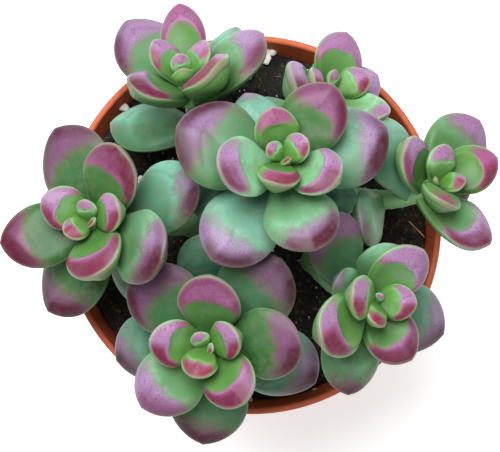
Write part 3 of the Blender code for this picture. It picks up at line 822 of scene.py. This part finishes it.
def path_from_crown(stem, distance):
    """The share of the path at a distance down from the crown, measured along the stem."""
    path = np.array([stem_path(stem, i / PATH_STEPS) for i in range(PATH_STEPS + 1)])
    walked = np.cumsum(np.linalg.norm(np.diff(path, axis=0), axis=1)[::-1])
    reached = int(np.argmax(walked >= distance)) if walked[-1] >= distance else PATH_STEPS - 1
    return (PATH_STEPS - 1 - reached) / PATH_STEPS


# %% Where a leaf sits and how it lies
GOLDEN_ANGLE = 137.5
LONGEST_LEAF = 31.0
BUD_LENGTH = 4.5
AGE_AT_TIP = 1.3
AGE_OF_GROWTH = 6.0
GROWTH_POWER = 1.5
UPRIGHT = 64.0
OPENING = 5.0
FLATTEST = 3.0
FIRST_SPACING = 0.6
ADDED_SPACING = 0.055
LEAF_WIDTH = 0.74


def leaf_placing(stem, age):
    """Bearing, lift, length and width of a leaf, and how far down the stem it sits, from its age.

    The length is longest (1 - exp(-((age + 1.3) / 6)^1.5)), so leaves grow fast and then hardly any more.
    """
    nudge = stem.nudges.get(age, [])
    turn, lift, longer, wider, lower = nudge + NO_NUDGE[len(nudge):]
    bearing = stem.first + stem.hand * GOLDEN_ANGLE * age + turn
    grown = 1 - np.exp(-(((age + AGE_AT_TIP) / AGE_OF_GROWTH) ** GROWTH_POWER))
    length = max(LONGEST_LEAF * grown, BUD_LENGTH) * stem.size * longer
    lift += max(UPRIGHT - OPENING * age, FLATTEST)
    down = (FIRST_SPACING * age + ADDED_SPACING * age * age) * stem.size + lower
    return bearing, lift, length * MM, length * LEAF_WIDTH * wider * MM, down * MM


def leaf_frame(stem, bearing, down):
    """Where a leaf is attached, and its own axes: away from the stem, across, and towards the crown."""
    share = path_from_crown(stem, down)
    axis = path_direction(stem, share)
    outward = UP.rotation_difference(axis).to_matrix() @ bearing_vector(bearing)
    return np.array(stem_path(stem, share)), np.array(Matrix((outward, axis.cross(outward), axis)))


# %% [markdown]
# ## The shape of a leaf
# A leaf is thick and fleshy. Its upper face ends at a ridge, from which a bevel slopes down to the margin.
# A second bevel lies below the margin, and then comes the rounded keel. At the sides the bevels are
# narrow, and at the tip they are so broad that the leaf looks cut off at a slant, with a crease down the
# middle to a small point. The surface is a function of two parameters: the station along the outline,
# and the way from there in to the middle line. Near the tip those ways bend back like chevrons, so that
# the mesh follows ridge and crease everywhere.

# %% Outline and midline
FOOT_WIDTH = 0.36
WIDEST_AT = 0.60
TIP_POWER = 2.1
TIP_ROUNDNESS = 0.64
BLADE_END = 0.995
POINT_WIDTH = 0.03
POINT_START = 0.95
POINT_POWER = 0.7
NECK_PINCH = 0.30
NECK_LENGTH = 0.09
MIDLINE_STEPS = 100


def leaf_outline(along):
    """Half the leaf's width as a share of its greatest: an S-curve out, then (1 - past^2.1)^0.64 in.

    The blade ends a little early, and a small point carries on from it: the two are added by their cubes.
    The neck is pinched where it leaves the stem.
    """
    grown = smoothstep(0, WIDEST_AT, along)
    past = np.clip((along / BLADE_END - WIDEST_AT) / (1 - WIDEST_AT), 0, 1)
    blade = (FOOT_WIDTH + (1 - FOOT_WIDTH) * grown) * (1 - past**TIP_POWER) ** TIP_ROUNDNESS
    point = POINT_WIDTH * np.clip((1 - along) / (1 - POINT_START), 0, 1) ** POINT_POWER
    pinch = 1 - NECK_PINCH * np.exp(-((along / NECK_LENGTH) ** 2))
    return (blade**3 + point**3) ** (1 / 3) * pinch


def leaf_midline(length, lift, curl):
    """The midline turns evenly upwards: its slope is lift + curl (s - 1/2), summed to how far and high."""
    along = np.linspace(0, 1, MIDLINE_STEPS + 1)
    slope = np.radians(lift + curl * (along - 0.5))
    out, high = [np.concatenate([[0], np.cumsum(part[:-1])]) / MIDLINE_STEPS * length
                 for part in (np.cos(slope), np.sin(slope))]
    return along, out, high, slope


# %% Stations, chevrons and bevels
STATIONS = 44
TIP_CROWDING = 1.5
BEVEL_STEPS = np.array([0.0, 0.015, 0.05, 0.12, 0.25, 0.42, 0.6, 0.78, 0.92])
FACE_STEPS = 1 - np.cos(np.linspace(0, pi / 2, 8))
YOUNG_SPREAD = 0.15
GROWN_SPREAD = 0.55
CHEVRON_EASE = 0.04
YOUNG_RIDGE = 0.88
GROWN_RIDGE = 0.62
CREASE_WIDTH = 0.045
YOUNG_CREASE = 0.06
GROWN_CREASE = 0.26

# A bevel's width as a share of the leaf's: at the foot, then what is added further out and at the tip
UPPER_BEVEL = (0.06, 0.05, 0.13)
YOUNG_TIP = 0.05
BUD_TIP = 0.10
LOWER_BEVEL = (0.05, 0.05)

# A leaf's character, from 0 to 1 each: how young it is, and how much of a bud it still is
Habit = namedtuple("Habit", "young bud")
Chevrons = namedtuple("Chevrons", "along across inward edge zone room")


def by_youth(habit, grown, young):
    """A value between the one for a grown leaf and the one for a young leaf."""
    return grown + (young - grown) * habit.young


def bevel_widths(along, width, habit):
    """Widths of the upper and lower bevel: narrow at the foot, an S-curve wider, and broad at the tip."""
    foot, further, tip = UPPER_BEVEL
    tip += YOUNG_TIP * habit.young + BUD_TIP * habit.bud
    upper = foot + further * smoothstep(0.25, 0.6, along) + tip * smoothstep(0.55, 0.95, along)
    foot, further = LOWER_BEVEL
    return width * upper, width * (foot + further * smoothstep(0.4, 0.9, along))


def spine_stations(stations, tip_bevel, length, habit):
    """Where each way in meets the middle line: level with its station, but not past the tip's ridge.

    On a young leaf the last ways all end close together, and on a grown one they are spread out more.
    """
    spread = by_youth(habit, GROWN_SPREAD, YOUNG_SPREAD)
    last = 1 - tip_bevel / by_youth(habit, GROWN_RIDGE, YOUNG_RIDGE) / length
    first = (last - spread) / (1 - spread)
    past = stations - first
    held_back = 0.5 * (past + np.sqrt(past**2 + CHEVRON_EASE**2))
    return stations - (1 - spread) * held_back


def half_chevrons(stations, spine, half, width, bevel, length, habit, hand):
    """One side of one face: how far along and across, and how far in from the margin.

    inward runs from 0 at the ridge to 1 on the middle line. edge is the distance from the margin and room
    the distance from ridge to middle line. zone is the way in as a share of the bevel: it is
    (1 - sqrt(rest^2 + soft^2) / sqrt(1 + soft^2)) / share, which rounds the crease at the middle line.
    """
    leg = np.hypot((stations - spine) * length, half)[:, None]
    share = np.minimum(bevel[:, None] / np.maximum(leg, 1e-9), by_youth(habit, GROWN_RIDGE, YOUNG_RIDGE))
    steps = np.concatenate([share * BEVEL_STEPS, share + (1 - share) * FACE_STEPS], axis=1)
    along = stations[:, None] + (spine - stations)[:, None] * steps
    across = hand * half[:, None] * (1 - steps)
    inward = np.clip((steps - share) / (1 - share), 0, 1)
    softest = by_youth(habit, GROWN_CREASE, YOUNG_CREASE)
    soft = np.minimum(CREASE_WIDTH * width / np.maximum(half, 1e-9), softest)[:, None]
    zone = (1 - np.sqrt(((1 - steps)**2 + soft**2) / (1 + soft**2))) / share
    return Chevrons(along, across, inward, steps * leg, zone, (1 - share) * leg + 0 * steps)


def whole_face(left, right):
    """Both sides of a face as one row of points: in from the left margin, then out to the right one."""
    return Chevrons(*[np.concatenate([a, b[:, -2::-1]], axis=1) for a, b in zip(left, right)])


# %% [markdown]
# The height of the skin over each of those points is a sum of simple shapes: a bevel that rises to the
# ridge and stays level after it, a dish or a crown on the face, a keel below, and sides that cup up a
# little. A young leaf has crisp ridges and a dished face, a grown one is softer and slightly crowned.

# %% Heights of the upper and lower skin
UPPER_DEPTH = 0.11
UPPER_FOOT = 0.07
TIP_DEPTH = 0.12
BUD_DEPTH = 0.09
MARGIN_DROP = 0.11
LOWER_DEPTH = 0.11
YOUNG_DEPTH = 0.05
KEEL_DEPTH = 0.04
KEEL_BELLY = 0.09
HULL_POWER = 1.25
LOWER_SHARPNESS = 1.7
UPPER_SHARPNESS = 1.8
YOUNG_SHARPENING = 2.6
BUD_SOFTENING = 0.6
YOUNG_DISH = 0.04
BUD_CROWN = 0.06
GROWN_CROWN = 0.035
YOUNG_CUP = 0.08
GROWN_CUP = 0.03
MARGIN_ROUND = 0.10


def ridge(zone, sharpness):
    """Rises by one over the bevel and stays level after it: (x^-n + 1)^(-1/n), crisp where n is large.

    x is sqrt(zone^2 + 2 r zone), which starts upright and so makes the margin round.
    """
    climb = np.sqrt(zone**2 + 2 * MARGIN_ROUND * zone)
    return (np.maximum(climb, 1e-4) ** -sharpness + 1) ** (-1 / sharpness)


def upper_height(face, width, habit):
    """Bevel rise, with a dish on the face of a young leaf and a crown on a bud's or a grown one's."""
    rise = UPPER_DEPTH + UPPER_FOOT * (1 - face.along) ** 2 + TIP_DEPTH * smoothstep(0.55, 0.9, face.along)
    rise = rise + BUD_DEPTH * habit.bud
    sharpening = YOUNG_SHARPENING * habit.young - BUD_SOFTENING * habit.bud
    sharpness = UPPER_SHARPNESS + sharpening * smoothstep(0.2, 0.6, face.along)
    swell = face.inward * (2 - face.inward) * smoothstep(0.0, 0.35 * width, face.room)
    crown = by_youth(habit, GROWN_CROWN, -YOUNG_DISH) + BUD_CROWN * habit.bud
    return width * (rise * ridge(face.zone, sharpness) + crown * swell)


def lower_height(face, width, habit):
    """The lower bevel, then a keel that is deepest halfway along."""
    depth = LOWER_DEPTH + YOUNG_DEPTH * habit.young
    belly = KEEL_DEPTH + KEEL_BELLY * np.sin(pi * face.along) + YOUNG_DEPTH * habit.young
    hull = (face.inward * (2 - face.inward)) ** HULL_POWER
    return -width * (depth * ridge(face.zone, LOWER_SHARPNESS) + belly * hull)


# %% A whole leaf
SICKLE = 0.03
TWIST = 4.0
WAVE = 0.012
WAVE_ALONG = 5
WAVE_ACROSS = 2.5
WAVE_PHASE = 3

Leaf = namedtuple("Leaf", "skin along side edge zone")


def leaf_grid(stations, length, width, habit):
    """Rows of points round the leaf, one row for each station: the upper face, then the keel side."""
    half = 0.5 * width * leaf_outline(stations)
    half[-1] = 0
    upper, lower = bevel_widths(stations, width, habit)
    spine = spine_stations(stations, upper[-1], length, habit)
    outline = (stations, spine, half, width)
    top = whole_face(*[half_chevrons(*outline, upper, length, habit, hand) for hand in (1, -1)])
    low = whole_face(*[half_chevrons(*outline, lower, length, habit, hand) for hand in (-1, 1)])
    low = Chevrons(*[part[:, 1:-1] for part in low])
    height = np.concatenate([upper_height(top, width, habit), lower_height(low, width, habit)], axis=1)
    low = low._replace(edge=-low.edge, zone=-low.zone)
    rows = Chevrons(*[np.concatenate([a, b], axis=1) for a, b in zip(top, low)])
    partner = np.concatenate([np.arange(top.along.shape[1])[::-1],
                              top.along.shape[1] + np.arange(low.along.shape[1])[::-1]])
    return rows, height, partner


def zipped(grid, partner, values):
    """A skin that starts at a pole and ends where each point of its last row meets its partner."""
    rings, around = grid.shape[:2]
    corners, counts = ring_faces(rings, around)
    corners, counts = corners[:-3 * around], counts[:-around]
    points = np.concatenate([grid.reshape(-1, 3), [grid[0].mean(axis=0)]])
    number = np.arange(len(points))
    last = (rings - 1) * around
    number[last:last + around] = last + np.minimum(np.arange(around), partner)
    used, corners = np.unique(number[corners], return_inverse=True)
    values = [np.append(rows.ravel(), rows[0].mean())[used] for rows in values]
    return (points[used], corners.ravel(), counts), values


def leaf_surface(length, width, lift, curl, habit, chance):
    """The section carried along the midline, with a small sideways bend, twist and wave of its own.

    Stations stand closer together towards the tip. The last but one is left out: it would be so close to
    the last that the narrow strip between them shows as a hard crease.
    """
    stations = np.delete(1 - (1 - np.linspace(0, 1, STATIONS)) ** TIP_CROWDING, -2)
    rows, height, partner = leaf_grid(stations, length, width, habit)
    side = rows.across / (0.5 * width)
    cup = GROWN_CUP + (YOUNG_CUP - GROWN_CUP) * habit.young * (1 - habit.bud)
    height = height + width * (cup * side**2 * np.sin(pi * rows.along)
                               - MARGIN_DROP * smoothstep(0.5, 0.95, rows.along))
    bend, twist, phase = chance.uniform(-1, 1, 3)
    wave = np.sin(WAVE_ALONG * rows.along + WAVE_ACROSS * side + WAVE_PHASE * phase)
    height = height + WAVE * width * wave * rows.along
    turn = np.radians(TWIST * twist * rows.along)
    across = rows.across * np.cos(turn) - height * np.sin(turn) + SICKLE * width * bend * rows.along**2
    height = height * np.cos(turn) + rows.across * np.sin(turn)
    fine, out, high, slope = leaf_midline(length, lift, curl)
    middle_x, middle_z, pitch = [np.interp(rows.along, fine, line) for line in (out, high, slope)]
    grid = np.stack([middle_x - height * np.sin(pitch), across, middle_z + height * np.cos(pitch)], axis=-1)
    skin, values = zipped(grid, partner, (rows.along, side, rows.edge / MM, rows.zone))
    return Leaf(skin, *values)


# %% [markdown]
# ## Where the pink goes
# Strong light turns the skin pink and dark red. On young leaves the bevels are deep pink and the face
# stays fresh green, with a sharp change at the ridge. On grown leaves a mauve flush spreads over the
# outer half of the face and the margin is dark red, inside a thin pale line. Old low leaves are plain
# blue-green. The rule below gives each point how flushed and how wine-red it is, and a listed value for a
# leaf says how far the flush reaches, to which side, and how dark it is.
# Part of the dark red is painted shade on facets that face away from the light, and the thin pale line is
# painted rim light along the rounded margin.

# %% How each leaf is coloured
# age: (how far out along the leaf the flush starts, side: +1 left to -1 right, how wine-red, bloom: from
# -1 for deep green skin to +1 for a thick pale bloom, which also sets each leaf's painted light and shade).
# A start of 1.15 leaves the face green, and a later one holds back the band on a young leaf's bevel too.
NO_FACE_FLUSH = 1.15
GREEN = (NO_FACE_FLUSH, 0, 0.0, 0)
FLUSHES = {
    "leafy_stem_back_left": {2: (1.0, 0, 0.7, 0.1), 4: (1.25, -0.5, 1.4, -0.1), 5: (0.68, 0, 1.2, -0.3),
                             6: (0.66, 0, 1.5, 0.2), 7: (0.84, -0.4, 1.1, 0.1), 8: (0.68, 0.4, 1.3, -0.1),
                             10: (1.05, 0, 0.1, 0), 11: (1.05, 0.3, 0.1, -0.1)},
    "leafy_stem_back_right": {4: (1.50, 0, 0.4, 0.9), 5: (0.74, 0, 0.9, -0.1), 6: (0.76, 0, 1.2, 0.1),
                              7: (0.45, 0, 0.1, 0.8), 8: (0.95, 0, 0.2, 0.2)},
    "leafy_stem_centre": {3: (1.20, 1.2, 1.0, 0.1), 4: (1.38, 0.2, 1.4, -0.4), 5: (1.15, 0, 1.2, 0.9),
                          6: (1.15, 0, 1.2, 1.0), 7: (0.76, -0.4, 1.7, -0.8), 8: (0.82, 0.5, 1.5, 0.5),
                          9: (0.74, -0.5, 2.2, -0.2), 10: (0.78, -0.6, 2.2, 0.3), 11: (0.76, 0.2, 0.9, 0.8),
                          12: (1.0, 0, 0.1, 0.6), 13: GREEN, 14: GREEN},
    "leafy_stem_left": {6: (0.80, -0.5, 4.0, -0.6), 7: (0.86, 0.3, 3.4, -1.0), 8: (0.80, 0, 1.8, 0.1),
                        9: (0.70, 0.3, 2.4, -0.8), 10: (0.76, 0.2, 1.9, -0.6), 11: (0.88, -0.8, 1.4, 0.1),
                        12: GREEN, 13: (1.15, 0, 0.0, -0.3)},
    "leafy_stem_right": {3: (1.40, 0, 1.0, -0.5), 4: (1.35, -0.5, 1.0, -0.4), 5: (1.0, 0, 1.0, 0),
                         6: (0.60, 0, 1.1, 0.5), 7: (0.95, 0, 0.4, -0.2), 8: (1.00, 0, 0.6, 0.2),
                         10: (1.15, 0, 0.0, 0.2), 11: GREEN},
    "leafy_stem_front": {6: (0.72, 0, 2.0, -0.4), 7: (0.84, 0, 0.6, 0.3), 8: (0.78, 0, 1.6, -0.7),
                         9: (0.64, 0, 1.6, -0.6), 10: (0.86, -0.3, 1.7, -0.2), 11: (0.72, 0, 1.6, -0.5),
                         12: (0.85, 0.2, 1.4, 0), 13: (0.84, 0.2, 1.4, 0), 14: (1.15, 0, 0.0, -0.4)},
    "leafy_stem_front_right": {4: (1.32, 0, 1.2, 0.1), 7: GREEN, 8: GREEN, 9: (0.92, 0, 1.1, 0),
                               10: (0.60, 0, 0.6, -0.3), 11: (0.80, 0, 1.1, 0.1)},
}
YOUNG = 5.5
OLD = 12.0


def flush_rule(age):
    """Where the flush starts and how wine-red the leaf is, where no listed value says so."""
    if age < YOUNG:
        return NO_FACE_FLUSH, 0, 1.2, 0.1
    return (0.76, 0, 1.4, 0) if age < OLD else (0.98, 0, 0.2, 0)


def between(low, high, value):
    """As smoothstep, but low may be the larger of the two: then it falls instead of rising."""
    return smoothstep(low, high, value) if low < high else 1 - smoothstep(high, low, value)


# %% Flush, wine-red and bloom
LEAN_SHIFT = 0.18
MARGIN_SHIFT = 0.16
MARGIN_WIDTH = 0.10
BAND_START = 0.36
BUD_BAND_START = 0.26
BAND_BEFORE_FACE = 0.22
YOUNG_FADE = 0.30
GROWN_FADE = 0.45
KEEL_FLUSH = 0.5
HEM_MIDDLE = 0.9
YOUNG_HEM = 1.1
GROWN_HEM = 1.8
# Where the painted sheen lies on the way in from the margin, and how wide it is
SHEEN_MIDDLE = 1.15
SHEEN_WIDTH = 0.4

# Where each thing begins and where it is full, as shares of the leaf's length
HEM_ALONG = (0.3, 0.6)
BLOOM_AND_SHEEN_ALONG = (0.5, 0.8)
TILT_ALONG = (0.0, 0.6)
FOOT_SHADE_ALONG = (0.7, 0.2)
KEEL_ALONG = (0.8, 1.0)

# The same on the way in, where the margin is 0, the ridge is 1 and the keel side is below 0
YOUNG_BAND = (1.6, 0.7)
GROWN_BAND = (2.3, 0.5)
BEVEL_BAND = (1.1, 0.5)
KEEL_BAND = (-1.8, -0.3)


def flushed(leaf, width, habit, start, reach):
    """How flushed each point is: the outer face, or a band on the bevel, or a little of the keel's tip.

    A young leaf's band ends at the ridge. A grown one's reaches on to the face and fades there.
    """
    near_margin = np.exp(-np.maximum(leaf.edge, 0) * MM / (MARGIN_WIDTH * width))
    face = between(start - 0.04, start + 0.38, reach + MARGIN_SHIFT * near_margin)
    young_start = BAND_START + BUD_BAND_START * habit.bud + max(start - NO_FACE_FLUSH, 0)
    band_start = by_youth(habit, start - BAND_BEFORE_FACE, young_start)
    band = between(band_start, band_start + by_youth(habit, GROWN_FADE, YOUNG_FADE), reach)
    band = band * by_youth(habit, between(*GROWN_BAND, leaf.zone), between(*YOUNG_BAND, leaf.zone))
    margin = 1 - 0.85 * habit.young * between(0.30, 0.05, leaf.zone) * between(1.0, 0.8, leaf.along)
    keel = KEEL_FLUSH * between(*KEEL_ALONG, reach) * between(*KEEL_BAND, leaf.zone)
    return np.where(leaf.zone < 0, keel, np.maximum(face, band) * margin)


def wine_red_and_painted_shade(leaf, habit, lean, redness, on_band, downward):
    """How wine-red each point is: a pigment hem along the margin and on a young leaf's bevel, with painted
    shade.
    """
    on_edge = np.exp(-((leaf.edge - HEM_MIDDLE) / by_youth(habit, GROWN_HEM, YOUNG_HEM)) ** 2)
    # Painted shade: the wine-red grows on facets that face the picture's lower edge, away from the light.
    on_edge = on_edge * (0.35 + 0.65 * downward) * by_youth(habit, 1.3, 1.0)
    on_bevel = on_band * (0.30 + 0.75 * downward) * by_youth(habit, 0.25, 1.0)
    dark = np.maximum(on_edge, on_bevel) * between(*HEM_ALONG, leaf.along)
    dark = dark * np.clip(0.8 + 0.5 * lean * np.clip(1.5 * leaf.side, -1, 1), 0, 1)
    return np.clip(dark * redness, 0, 1)


def bloom_sheen_and_shade(leaf, habit, tone, on_band, downward):
    """How pale and waxy each point is, with a painted sheen on the ridge and up-facing facets and painted
    shade at the foot.
    """
    # A painted sheen, along the ridge and on bevel facets that face up towards the light.
    at_ridge = 0.8 * np.exp(-((leaf.zone - SHEEN_MIDDLE) / SHEEN_WIDTH) ** 2)
    sheen = np.maximum(at_ridge, on_band * (1 - downward)) * (leaf.zone > 0)
    sheen = sheen * np.clip(1 + 1.4 * tone, 0, 1.2)
    bloom_and_painted_light = tone + between(*BLOOM_AND_SHEEN_ALONG, leaf.along) * (0.15 + 0.6 * sheen)
    # Painted light and shade: lighter on facets that face the picture's upper edge, darker on those that face
    # its lower edge.
    bloom_and_painted_light = bloom_and_painted_light + 0.4 * (0.5 - downward) * between(*TILT_ALONG, leaf.along)
    # Darker towards the foot: painted shade where the leaves crowd round the bud, and on a young leaf also
    # its own deeper green.
    return np.clip(bloom_and_painted_light - by_youth(habit, 0.15, 0.80) * between(*FOOT_SHADE_ALONG, leaf.along), -1, 1)


def leaf_colouring(stem, age, leaf, width, bearing, habit):
    """Four numbers at each point of a leaf: how flushed, how wine-red, how pale and waxy with painted light
    and shade, and the pale margin, which is painted rim light.

    The wine-red is strongest near the margin, and on facets that face the picture's lower edge, away from
    the light, where it is painted shade. The pale wax has a painted sheen along the ridge and on facets
    that face the picture's upper edge, towards the light.
    """
    start, lean, redness, tone = FLUSHES[stem.name].get(age, flush_rule(age))
    reach = leaf.along + LEAN_SHIFT * lean * leaf.side
    # How much a facet faces the picture's lower edge, away from the light: it places painted shade, and where
    # it is low, painted light.
    downward = smoothstep(-0.4, 0.6, -np.sin(radians(bearing) + 0.9 * np.clip(2 * leaf.side, -1, 1)))
    on_band = between(*BEVEL_BAND, leaf.zone)
    flush = flushed(leaf, width, habit, start, reach)
    wine = wine_red_and_painted_shade(leaf, habit, lean, redness, on_band, downward)
    bloom_and_painted_light = bloom_sheen_and_shade(leaf, habit, tone, on_band, downward)
    # The pale line along the margin is painted rim light, where the white surroundings light the rounded
    # edge.
    pale = between(-3.0, -0.2, leaf.edge) * between(0.35, 0.05, leaf.edge) * by_youth(habit, 0.12, 0.40)
    return flush, wine, bloom_and_painted_light, pale


# %% [markdown]
# ## Leaf skin
# The skin of a sedum leaf is smooth and waxy. The flesh below it is watery, so a little light goes in and
# comes out again, which softens the shading: that is the subsurface part. Its colours are mixed from the
# numbers above, and noise breaks each edge between two colours. A pale bloom of wax lies on the faces in
# patches, and fine dark dots show in the flushed parts.

# %% Waxy leaf skin
# Each kind of spot on the skin: its size, how many finer layers it has and how rough they are
MOTTLE = (5.0 * MM, 3, 0.5)
SMUDGE = (3.0 * MM, 8, 0.72)
FRECKLE = (0.55 * MM, 2, 0.5)
SKIN_GRAIN = (0.18 * MM, 2, 0.5)

# Colours by age, from the bud at 0 to the oldest leaf at 1
GREENS = [(0.0, "#558b2e"), (0.3, "#578a38"), (0.5, "#4f7d45"), (0.75, "#4a7a5a"), (1.0, "#2b5848")]
MINTS = [(0.3, "#98cb9c"), (0.8, "#80b8a2")]
PINKS = [(0.0, "#a84566"), (0.35, "#984874"), (0.55, "#7f4c70"), (1.0, "#6e5865")]
CRIMSONS = [(0.0, "#8c2a43"), (0.35, "#6e2039"), (0.6, "#4c1827"), (1.0, "#421b25")]

# What the stem's skin has of each number that the material reads
STEM_SKIN = {"age": 0.2, "flush": 0.0, "wine": 0.0, "bloom_and_painted_light": 0.7, "pale": 0.4}


def waxy_leaf_skin():
    """Living leaf cuticle, IOR 1.45: satin, a little translucent, green to mauve and wine-red."""
    material, tree, place = new_material("waxy_leaf_cuticle", IOR=1.45, Subsurface_Weight=0.15,
                                         Subsurface_Radius=(1.6 * MM, 1.1 * MM, 0.6 * MM),
                                         Subsurface_Scale=1.0, Specular_IOR_Level=0.32)
    age, flush, wine, bloom_and_painted_light, pale = [add_node(tree, "Attribute", output="Fac", attribute_name=name)
                                     for name in STEM_SKIN]
    mottle, smudge, freckle, grain = [
        add_node(tree, "TexNoise", {"Vector": place, "Scale": 1 / size, "Detail": layers, "Roughness": rough})
        for size, layers, rough in (MOTTLE, SMUDGE, FRECKLE, SKIN_GRAIN)]
    green, mint, pink, crimson = [add_node(tree, "ValToRGB", {"Fac": age}, stops)
                                  for stops in (GREENS, MINTS, PINKS, CRIMSONS)]

    # The flush breaks up at its edge. What else lies on the skin grows from none at the first number to
    # its greatest share, the third number, at the second one.
    broken = add_node(tree, "Math", {0: smudge, 1: 1.3, 2: flush}, operation="MULTIPLY_ADD")
    amount = add_node(tree, "MapRange", {"Value": broken, "From Min": 0.72, "From Max": 1.45},
                      interpolation_type="SMOOTHSTEP")
    patch, thin, thick_bloom_and_sheen, olive, dots, wax = [
        add_node(tree, "MapRange", {"Value": value, "From Min": none, "From Max": full, "To Max": share})
        for value, none, full, share in ((mottle, 0.4, 0.75, 0.3), (bloom_and_painted_light, 0, -1, 0.9), (bloom_and_painted_light, 0, 1, 0.75),
                                         (broken, 0.6, 1.05, 0.7), (freckle, 0.58, 0.68, 0.5),
                                         (smudge, 0.45, 0.8, 0.1))]
    dark, dots = [add_node(tree, "Math", {0: part, 1: amount}, operation="MULTIPLY") for part in (wine, dots)]
    # Where the bloom number is high, the pink turns lavender and the green mint: partly the wax bloom, partly
    # a painted sheen. Where it is low, the skin turns deep green: partly its own colour, partly painted
    # shade. The pale colour is painted rim light at a leaf's margin, and the stem's own paler green.
    pink = add_node(tree, "Mix", {"Factor": thick_bloom_and_sheen, A: pink, B: "#b08fb8"}, **COLOURS)
    colour = green
    for factor, over in ((patch, "#739a5c"), (thin, "#27531b"), (thick_bloom_and_sheen, mint), (olive, "#5f6532"),
                         (amount, pink), (dark, crimson), (dots, "#5c2148"), (wax, "#a9bfc0"),
                         (pale, "#9cbf86")):
        colour = add_node(tree, "Mix", {"Factor": factor, A: colour, B: over}, **COLOURS)

    rough = add_node(tree, "MapRange", {"Value": smudge, "To Min": 0.30, "To Max": 0.54})
    bump = add_node(tree, "Bump", {"Height": grain, "Strength": 0.12, "Distance": 0.06 * MM})
    connect(tree, Base_Color=colour, Roughness=rough, Normal=bump)
    return material


leaf_material = waxy_leaf_skin()
print("nodes in the leaf's skin:", len(leaf_material.node_tree.nodes))

# %% [markdown]
# ## The stems
# A sedum's stem is a smooth green rod, thicker at its foot, with a swelling and a scar wherever a leaf
# was shed. It is a circle carried along the path. Its radius falls evenly, plus small rings.

# %% Stem surface
STEM_FOOT_RADIUS = 3.3 * MM
STEM_CROWN_RADIUS = 2.1 * MM
STEM_SIDES = 28
STEM_RINGS = 70
SCAR_SPACING = 3.2 * MM
SCAR_HEIGHT = 0.18 * MM
SCAR_TILT = 1.5
SCAR_TWIST = 7
SCAR_SHARPNESS = 6
ROOT_DEPTH = 18.0 * MM
ROOT_POINT = 0.5 * MM


def stem_surface(stem):
    """Radius = foot + (crown - foot) s + scar rings, carried round the path and down into the soil."""
    share = np.linspace(0, 1, STEM_RINGS)
    middles = np.array([stem_path(stem, s) for s in share])
    frames = np.array([UP.rotation_difference(path_direction(stem, s)).to_matrix() for s in share])
    turn = full_turn(STEM_SIDES)
    length = (crown_point(stem) - foot_point(stem)).length
    tilt = SCAR_TILT * np.sin(turn + SCAR_TWIST * share[:, None])
    wave = np.cos(2 * pi * share[:, None] * length / SCAR_SPACING + tilt)
    radius = (STEM_FOOT_RADIUS + (STEM_CROWN_RADIUS - STEM_FOOT_RADIUS) * share)[:, None]
    radius = radius + SCAR_HEIGHT * np.clip(wave, 0, 1) ** SCAR_SHARPNESS
    ring = np.stack([radius * np.cos(turn), radius * np.sin(turn), 0 * radius * turn], axis=-1)
    grid = middles[:, None] + np.einsum("rij,raj->rai", frames, ring)
    root = SOIL_LEVEL - ROOT_DEPTH
    grid = np.concatenate([ring[:1] + np.array(foot_point(stem, root)), grid])
    return closed_skin(grid, foot_point(stem, root - ROOT_POINT), np.array(crown_point(stem)))


# %% Grow the seven leafy stems
YOUNG_AGES = (4, 9)
BUD_AGES = (1, 4.5)
BUD_LEAVES = 3
BUD_CURL = 10.0
LEAF_CURL = 26.0
OLDEST = 14
SEEDS_PER_STEM = 100


def grow(stem, number):
    """One leafy stem as a piece: its stem and every leaf, with the numbers that the skin reads."""
    skins = [stem_surface(stem)]
    values = {key: [np.full(len(skins[0][0]), value)] for key, value in STEM_SKIN.items()}
    for age in range(stem.leaves):
        bearing, lift, length, width, down = leaf_placing(stem, age)
        origin, axes = leaf_frame(stem, bearing, down)
        curl = BUD_CURL if age < BUD_LEAVES else LEAF_CURL
        habit = Habit(*[float(1 - smoothstep(*ages, age)) for ages in (YOUNG_AGES, BUD_AGES)])
        chance = np.random.default_rng(SEEDS_PER_STEM * number + age)
        leaf = leaf_surface(length, width, lift, curl, habit, chance)
        points, corners, counts = leaf.skin
        skins.append((points @ axes + origin, corners, counts))
        colouring = leaf_colouring(stem, age, leaf, width, bearing, habit)
        for key, made in zip(values, (np.full(len(points), age / OLDEST), *colouring)):
            values[key].append(made)
    values = {key: np.concatenate(parts) for key, parts in values.items()}
    return skin_object(stem.name.replace("leafy_stem", "rosette"), joined(skins), leaf_material, values)


for number, stem in enumerate(LEAFY_STEMS):
    rosette = grow(stem, number)
    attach(rosette, "root")
    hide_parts(stem.name)

# %% [markdown]
# ## Check the size
# The dressed plant must fill the same box as the plain model. Both boxes are measured, and the
# largest difference is printed.

# %% Sizes
dressed_box = [list(corner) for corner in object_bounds()]
difference = np.abs(np.array(plain_box) - np.array(dressed_box)).max()
print(f"largest difference between the boxes: {difference / MM:.2f} mm")
